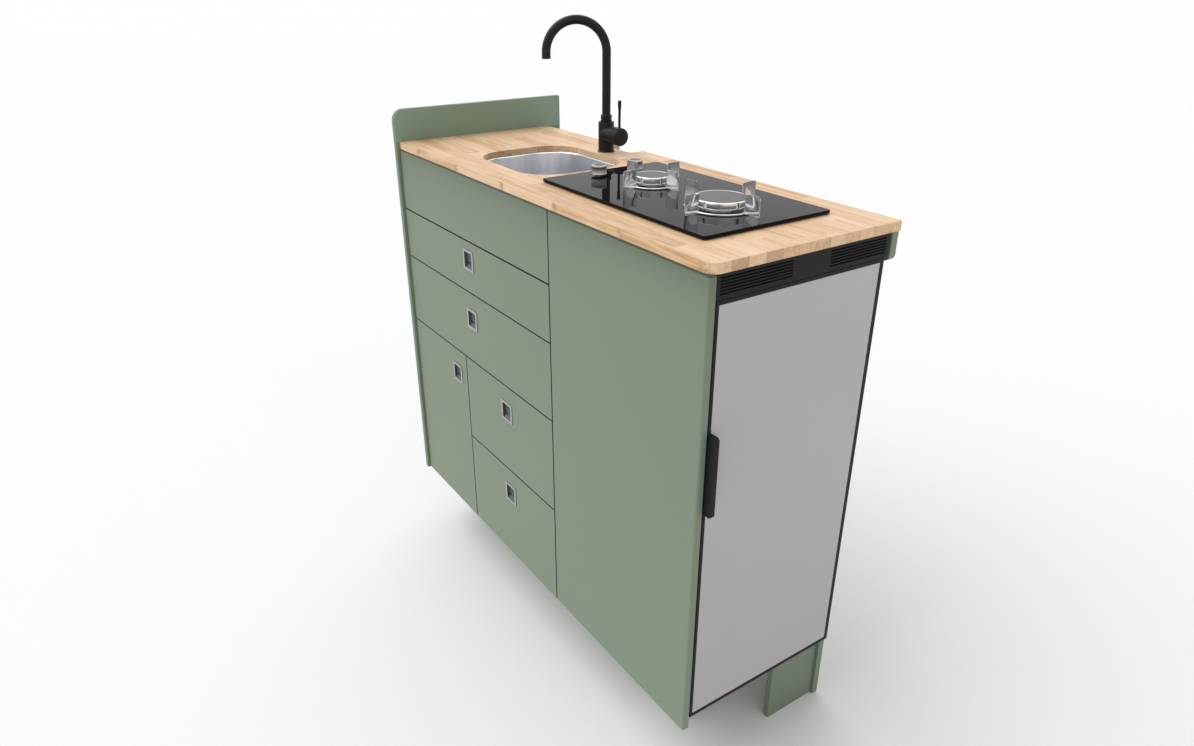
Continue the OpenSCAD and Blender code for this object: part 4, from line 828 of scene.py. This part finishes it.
def makeWaste():
    # body with a gripped nut and a ridged outlet to the back
    low, wide, nut, seat = strainer["low"], strainer["body"], strainer["nut"], strainer["seat"]
    body = Piece("wasteBody", (*sink["middle"], 0))
    body.hoop(fillet([(wide - 3, low + 3), (wide - 3, seat - 3.5), (wide, seat - 3.5), (wide, low), (wide - 6, low),
                      (0.5, low), (0.5, low + 3)], 0.8, 3, closed=True))
    body.hoop(fillet([(wide + 0.2, seat - 14), (nut, seat - 14), (nut, seat - 3.4), (wide + 0.2, seat - 3.4)],
                     1.0, 3, closed=True))
    grip = fillet([(nut - 1.5, -1.6), (nut + 0.9, -1.1), (nut + 0.9, 1.1), (nut - 1.5, 1.6)], 0.4, 2, closed=True)
    for k in range(strainer["grips"]):
        around = Matrix.Rotation(2 * math.pi * k / strainer["grips"], 4, "Z")
        body.prism(grip, seat - 13.5, seat - 4.0, 0.5, around)
    r, end = strainer["outlet"], strainer["reach"]
    barbs = [point for at in strainer["barbs"] for point in ((r, at), (r + 0.7, at + 4), (r, at + 5.5))]
    back = Matrix.Translation((0, 0, strainer["outletHeight"])) @ Matrix.Rotation(-math.pi / 2, 4, "X")
    body.hoop(fillet([(r - 2.5, 17), (r + 2, 17), (r + 2, 29), (r, 30), *barbs, (r, end), (r - 2.5, end)],
                     0.4, 2, closed=True), 64, back)
    body.made("waste_metal", "carcass", ["sink_waste"], look=finish["dark_plastic"])


makeStrainer()
makeWaste()
print("sink and waste")


# Burners: turned cups with a ring of ports, capped by a bright ring round a grey disc.

hob = {
    "glass": 1128.0, "tray": 1077.2, "capTop": 20.0, "ports": 24, "portDeep": 3.6, "portWide": 0.34,
    "burners": (("Large", 370.8, -21.5, 50.0, 90.0), ("Small", 159.9, -13.5, 35.0, 74.0)),
    "turn": 5.0, "supportTop": 36.0, "plate": 3.0, "ringOut": 14.0, "ringHigh": 4.2, "over": 0.1,
}


def toothed(radius, notch, z, steps=10):
    # a circle with evenly spaced notches in its edge
    count = hob["ports"] * steps
    notched = [notch if (k % steps) / steps < hob["portWide"] else 0.0 for k in range(count)]
    return [onCircle(radius - inward, 2 * math.pi * (k / count), z) for k, inward in enumerate(notched)]


def makeBurner(name, x, y, r):
    base = Piece("burnerBase" + name, (x, y, 0))
    low, z, wall = hob["tray"], hob["glass"], r - 14
    cup = fillet([(0, low), (wall, low), (wall, z + 0.1), (r - 11, z + 0.1)], [0, 1, 0, 0], 3)[:-1]
    base.lathe(cup + [(wall, z + 0.2), (0, z + 0.2)], 72)
    foot = fillet([(0, z + 0.02), (r + 2, z + 0.02), (r + 2, z + 0.9), (r - 2, z + 1.7), (r - 9, z + 2.2),
                   (r - 10, z + 2.6)], [0, 0, 0.4, 1, 0.6, 0], 4)
    base.lathe(foot + [(0, z + 2.6)])
    crown = [(0.0, 2.2), (0.0, 2.9), (1.0, 3.0), (1.0, 5.4), (0.0, 5.5), (0.0, 8.0)]
    base.loft([toothed(r - 10, hob["portDeep"] * share, z + height) for share, height in crown])
    base.made("burner_metal", "carcass", ["burner_bases"])

    ring = Piece("burnerRing" + name, (x, y, z))
    top = hob["capTop"]
    ring.hoop(fillet([(r - 13, 8.0), (r - 9, 8.0), (r - 9, 5.4), (r - 1.2, 5.4), (r, 6.4), (r, top),
                      (r - 3.4, top - 0.1), (r - 3.6, top - 1.6), (r - 13, top - 1.6)],
                     [0, 0, 0, 0.6, 0.8, 2.0, 0.3, 0.2, 0], 5, closed=True), 128)
    ring.made("burner_metal", "carcass", ["burner_caps"], look=finish["polished_steel"])

    disc = Piece("burnerDisc" + name, (x, y, z))
    disc.lathe(fillet([(0, top - 5), (r - 3.8, top - 5), (r - 3.8, top - 0.2), (r - 4.4, top), (0, top)],
                      [0, 0, 0.3, 0.3, 0], 3), 128)
    disc.made("cap_enamel", "carcass", ["burner_caps"])


def makeSupport(name, x, y, r, reach):
    # a low ring on the glass that holds four upright plates with rounded corners
    place = (x, y, hob["glass"]), Matrix.Rotation(math.radians(hob["turn"]), 4, "Z")
    near, half, low = r + 7, hob["plate"] / 2, hob["over"]
    middle, top, high = r + hob["ringOut"], hob["supportTop"], hob["ringHigh"]
    ring = Piece("supportRing" + name, *place)
    ring.hoop(fillet([(middle - half, low), (middle + half, low), (middle + half, high), (middle - half, high)],
                     0.9, 4, closed=True), 160)
    ring.made("polished_steel", "carcass", ["pan_supports"])
    support = Piece("panSupport" + name, *place)
    outline = fillet([(reach, low), (reach, top), (near, top), (near, low)], [0.8, 4, 4, 0.8], 5, closed=True)
    for k in range(4):
        upright = Matrix.Rotation(k * math.pi / 2, 4, "Z") @ Matrix.Rotation(math.pi / 2, 4, "X")
        support.prism(outline, -half, half, 0.6, upright)
    support.made("polished_steel", "carcass", ["pan_supports"], look=clearPlate())


for name, x, y, r, reach in hob["burners"]:
    makeBurner(name, x, y, r)
    makeSupport(name, x, y, r, reach)
print("burners and supports")


# Knobs: turned caps with fine flutes, a pointer bar and an inlaid disc.

knobLook = {
    "x": 37.75, "low": 1131.4, "rows": (("Front", -56.5, "front"), ("Rear", 35.5, "rear")),
    "radius": 16.0, "high": 20.0, "bore": 3.3, "flutes": 56, "flute": 0.35, "pointer": 0.7, "inlay": 3.2,
}


def flutedLoop(radius, z, depth):
    # a circle whose edge dips once for each flute
    count = knobLook["flutes"] * 4
    dips = [depth * (0.5 + 0.5 * math.cos(2 * math.pi * k / 4)) for k in range(count)]
    return [onCircle(radius - dip, 2 * math.pi * k / count, z) for k, dip in enumerate(dips)]


def makeKnob(name, y, side):
    place = (knobLook["x"], y, knobLook["low"])
    r, h, flute = knobLook["radius"], knobLook["high"], knobLook["flute"]
    bar, disc = knobLook["pointer"], r - knobLook["inlay"]
    knob = Piece("knob" + name, place)
    outline = [
        (knobLook["bore"], 0, 0), (r - 1.0, 0, 0), (r - 0.3, 0.25, 0), (r, 0.9, 0), (r, 2.2, 0), (r - 0.35, 2.6, 0),
        (r - 0.35, 3.0, flute), (r - 0.5, h * 0.5, flute), (r - 0.35, h - 4.2, flute),
        (r - 0.35, h - 3.8, 0), (r, h - 3.4, 0), (r, h - 1.6, 0), (r - 0.4, h - 0.6, 0), (r - 1.4, h - 0.1, 0),
        (r - 2.2, h, 0), (r - 4, h - 0.25, 0), (0.6, h - 0.4, 0),
    ]
    knob.loft([flutedLoop(radius, z, depth) for radius, z, depth in outline])
    pointer = fillet([(-bar, 4.5), (bar, 4.5), (bar, r - 2.6), (-bar, r - 2.6)], 0.6, 3, closed=True)
    knob.prism(pointer, h - 0.6, h, 0.1)
    knob.made("knob_metal", side + "_knob", ["knob_" + side])
    inlay = Piece("knobInlay" + name, place)
    inlay.lathe(fillet([(0, h - 1), (disc, h - 1), (disc, h - 0.25), (0, h - 0.15)], [0, 0, 0.2, 0], 3), 72)
    inlay.made("knob_metal", side + "_knob", ["knob_" + side], look=finish["cap_enamel"])


for name, y, side in knobLook["rows"]:
    makeKnob(name, y, side)
print("knobs")


# Tap: round body with a side housing, gooseneck, turning cap and lever.

tap = {
    "at": (-203.25, 128.5, 1120.0), "body": 18.5, "high": 69.0, "housing": 20.5, "axis": 41.0, "reach": 46.0,
    "collar": 13.0, "collarHigh": 15.0, "pipe": 10.0, "bend": 69.0, "bendHigh": 222.0, "end": 12.5, "turn": -25.0,
    "outlet": ((6, 2.7, 1.0, 0.6, 4.1), (12, 5.5, 0.9, 4.1, 7.4)),  # rows of holes, given as the strainer's are
    "cap": 17.0, "pin": 8.0, "lever": 3.0, "leverOut": 7.0, "tip": 4.0, "leverTop": 122.0,
}


def makeTapBody():
    r, h, side, reach = tap["body"], tap["high"], tap["housing"] - 0.5, tap["reach"]
    body = Piece("tapBody", tap["at"])
    body.lathe(fillet([(0, 0.02), (r + 1.4, 0.02), (r + 1.4, 2.2), (r, 3.2), (r, h - 0.1), (0, h - 0.1)],
                      [0, 0.3, 0.8, 0.4, 1.2, 0], 4))
    across = Matrix.Translation((0, 0, tap["axis"])) @ Matrix.Rotation(math.pi / 2, 4, "Y")
    body.lathe(fillet([(0, 0), (side, 0), (side, reach), (0, reach)], [0, 0, 0.7, 0], 4), local=across)
    body.made("tap_black", "carcass", ["tap_body"])


def makeSpout():
    # collar, gooseneck pipe and a rolled end with a sieve
    spout = Piece("tapSpout", tap["at"], Matrix.Rotation(math.radians(tap["turn"]), 4, "Z"))
    z, collar, pipe, bend = tap["high"] + 0.3, tap["collar"], tap["pipe"], tap["bend"]
    top = z + tap["collarHigh"]
    spout.lathe(fillet([(0, z), (collar, z), (collar, z + 4.2), (collar - 0.8, z + 5), (collar, z + 5.8),
                        (collar, top), (pipe - 1, top + 0.6)], [0, 0.5, 0.3, 0, 0.3, 1.6, 0], 4), 72)
    low, high = tap["bendHigh"] - tap["end"], tap["bendHigh"]
    path = [(0, 0, z + 4), (0, 0, high - 30), (0, 0, high - 1)]
    for k in range(49):
        turn = math.pi * k / 48
        path.append((0, -bend + bend * math.cos(turn), high + bend * math.sin(turn)))
    path.append((0, -2 * bend, low + 1.4))
    spout.tube(path, pipe, 40)
    spout.hoop(fillet([(pipe, 1.45), (pipe, 0), (pipe - 1.3, 0), (pipe - 1.5, 2.0), (pipe - 2.5, 2.2),
                       (pipe - 2.5, 3.5), (pipe - 1, 3.5)], [0, 0.6, 0.5, 0, 0.4, 0, 0], 3, closed=True), 64,
               Matrix.Translation((0, -2 * bend, low)))
    holedPlate(spout, tap["outlet"], low + 2.8, steps=4)
    spout.made("tap_black", "spout", ["tap_spout"])


def makeLever():
    # the turning cap on the side housing, and the lever that rides on it
    x, y, z = tap["at"][0] + tap["reach"], tap["at"][1], tap["at"][2] + tap["axis"]
    r, long, pin = tap["housing"], tap["cap"], tap["pin"]
    cap = Piece("tapCap", (x, y, z))
    along = Matrix.Rotation(math.pi / 2, 4, "Y")
    cap.lathe(fillet([(0, 0.3), (r, 0.3), (r, long - 4), (r - 1.2, long - 1.2), (r - 4, long), (0, long)],
                     [0, 0.5, 3, 2, 3, 0], 4), local=along)
    cap.lathe([(0, -10), (pin, -10), (pin, 1), (0, 1)], 48, along)
    cap.made("tap_black", "mixer_cap", ["tap_cap"])

    lever = Piece("tapLever", (x + tap["leverOut"], y, z))
    thin, tip, reach = tap["lever"], tap["tip"], tap["leverTop"] - tap["axis"]
    lever.lathe(fillet([(0, 2), (thin, 2), (thin, reach - 24), (tip, reach - 12), (tip, reach), (0, reach)],
                       [0, 0, 14, 14, 2.2, 0], 6), 40)
    lever.made("tap_black", "mixer_lever", ["tap_lever"])


makeTapBody()
makeSpout()
makeLever()
print("tap")
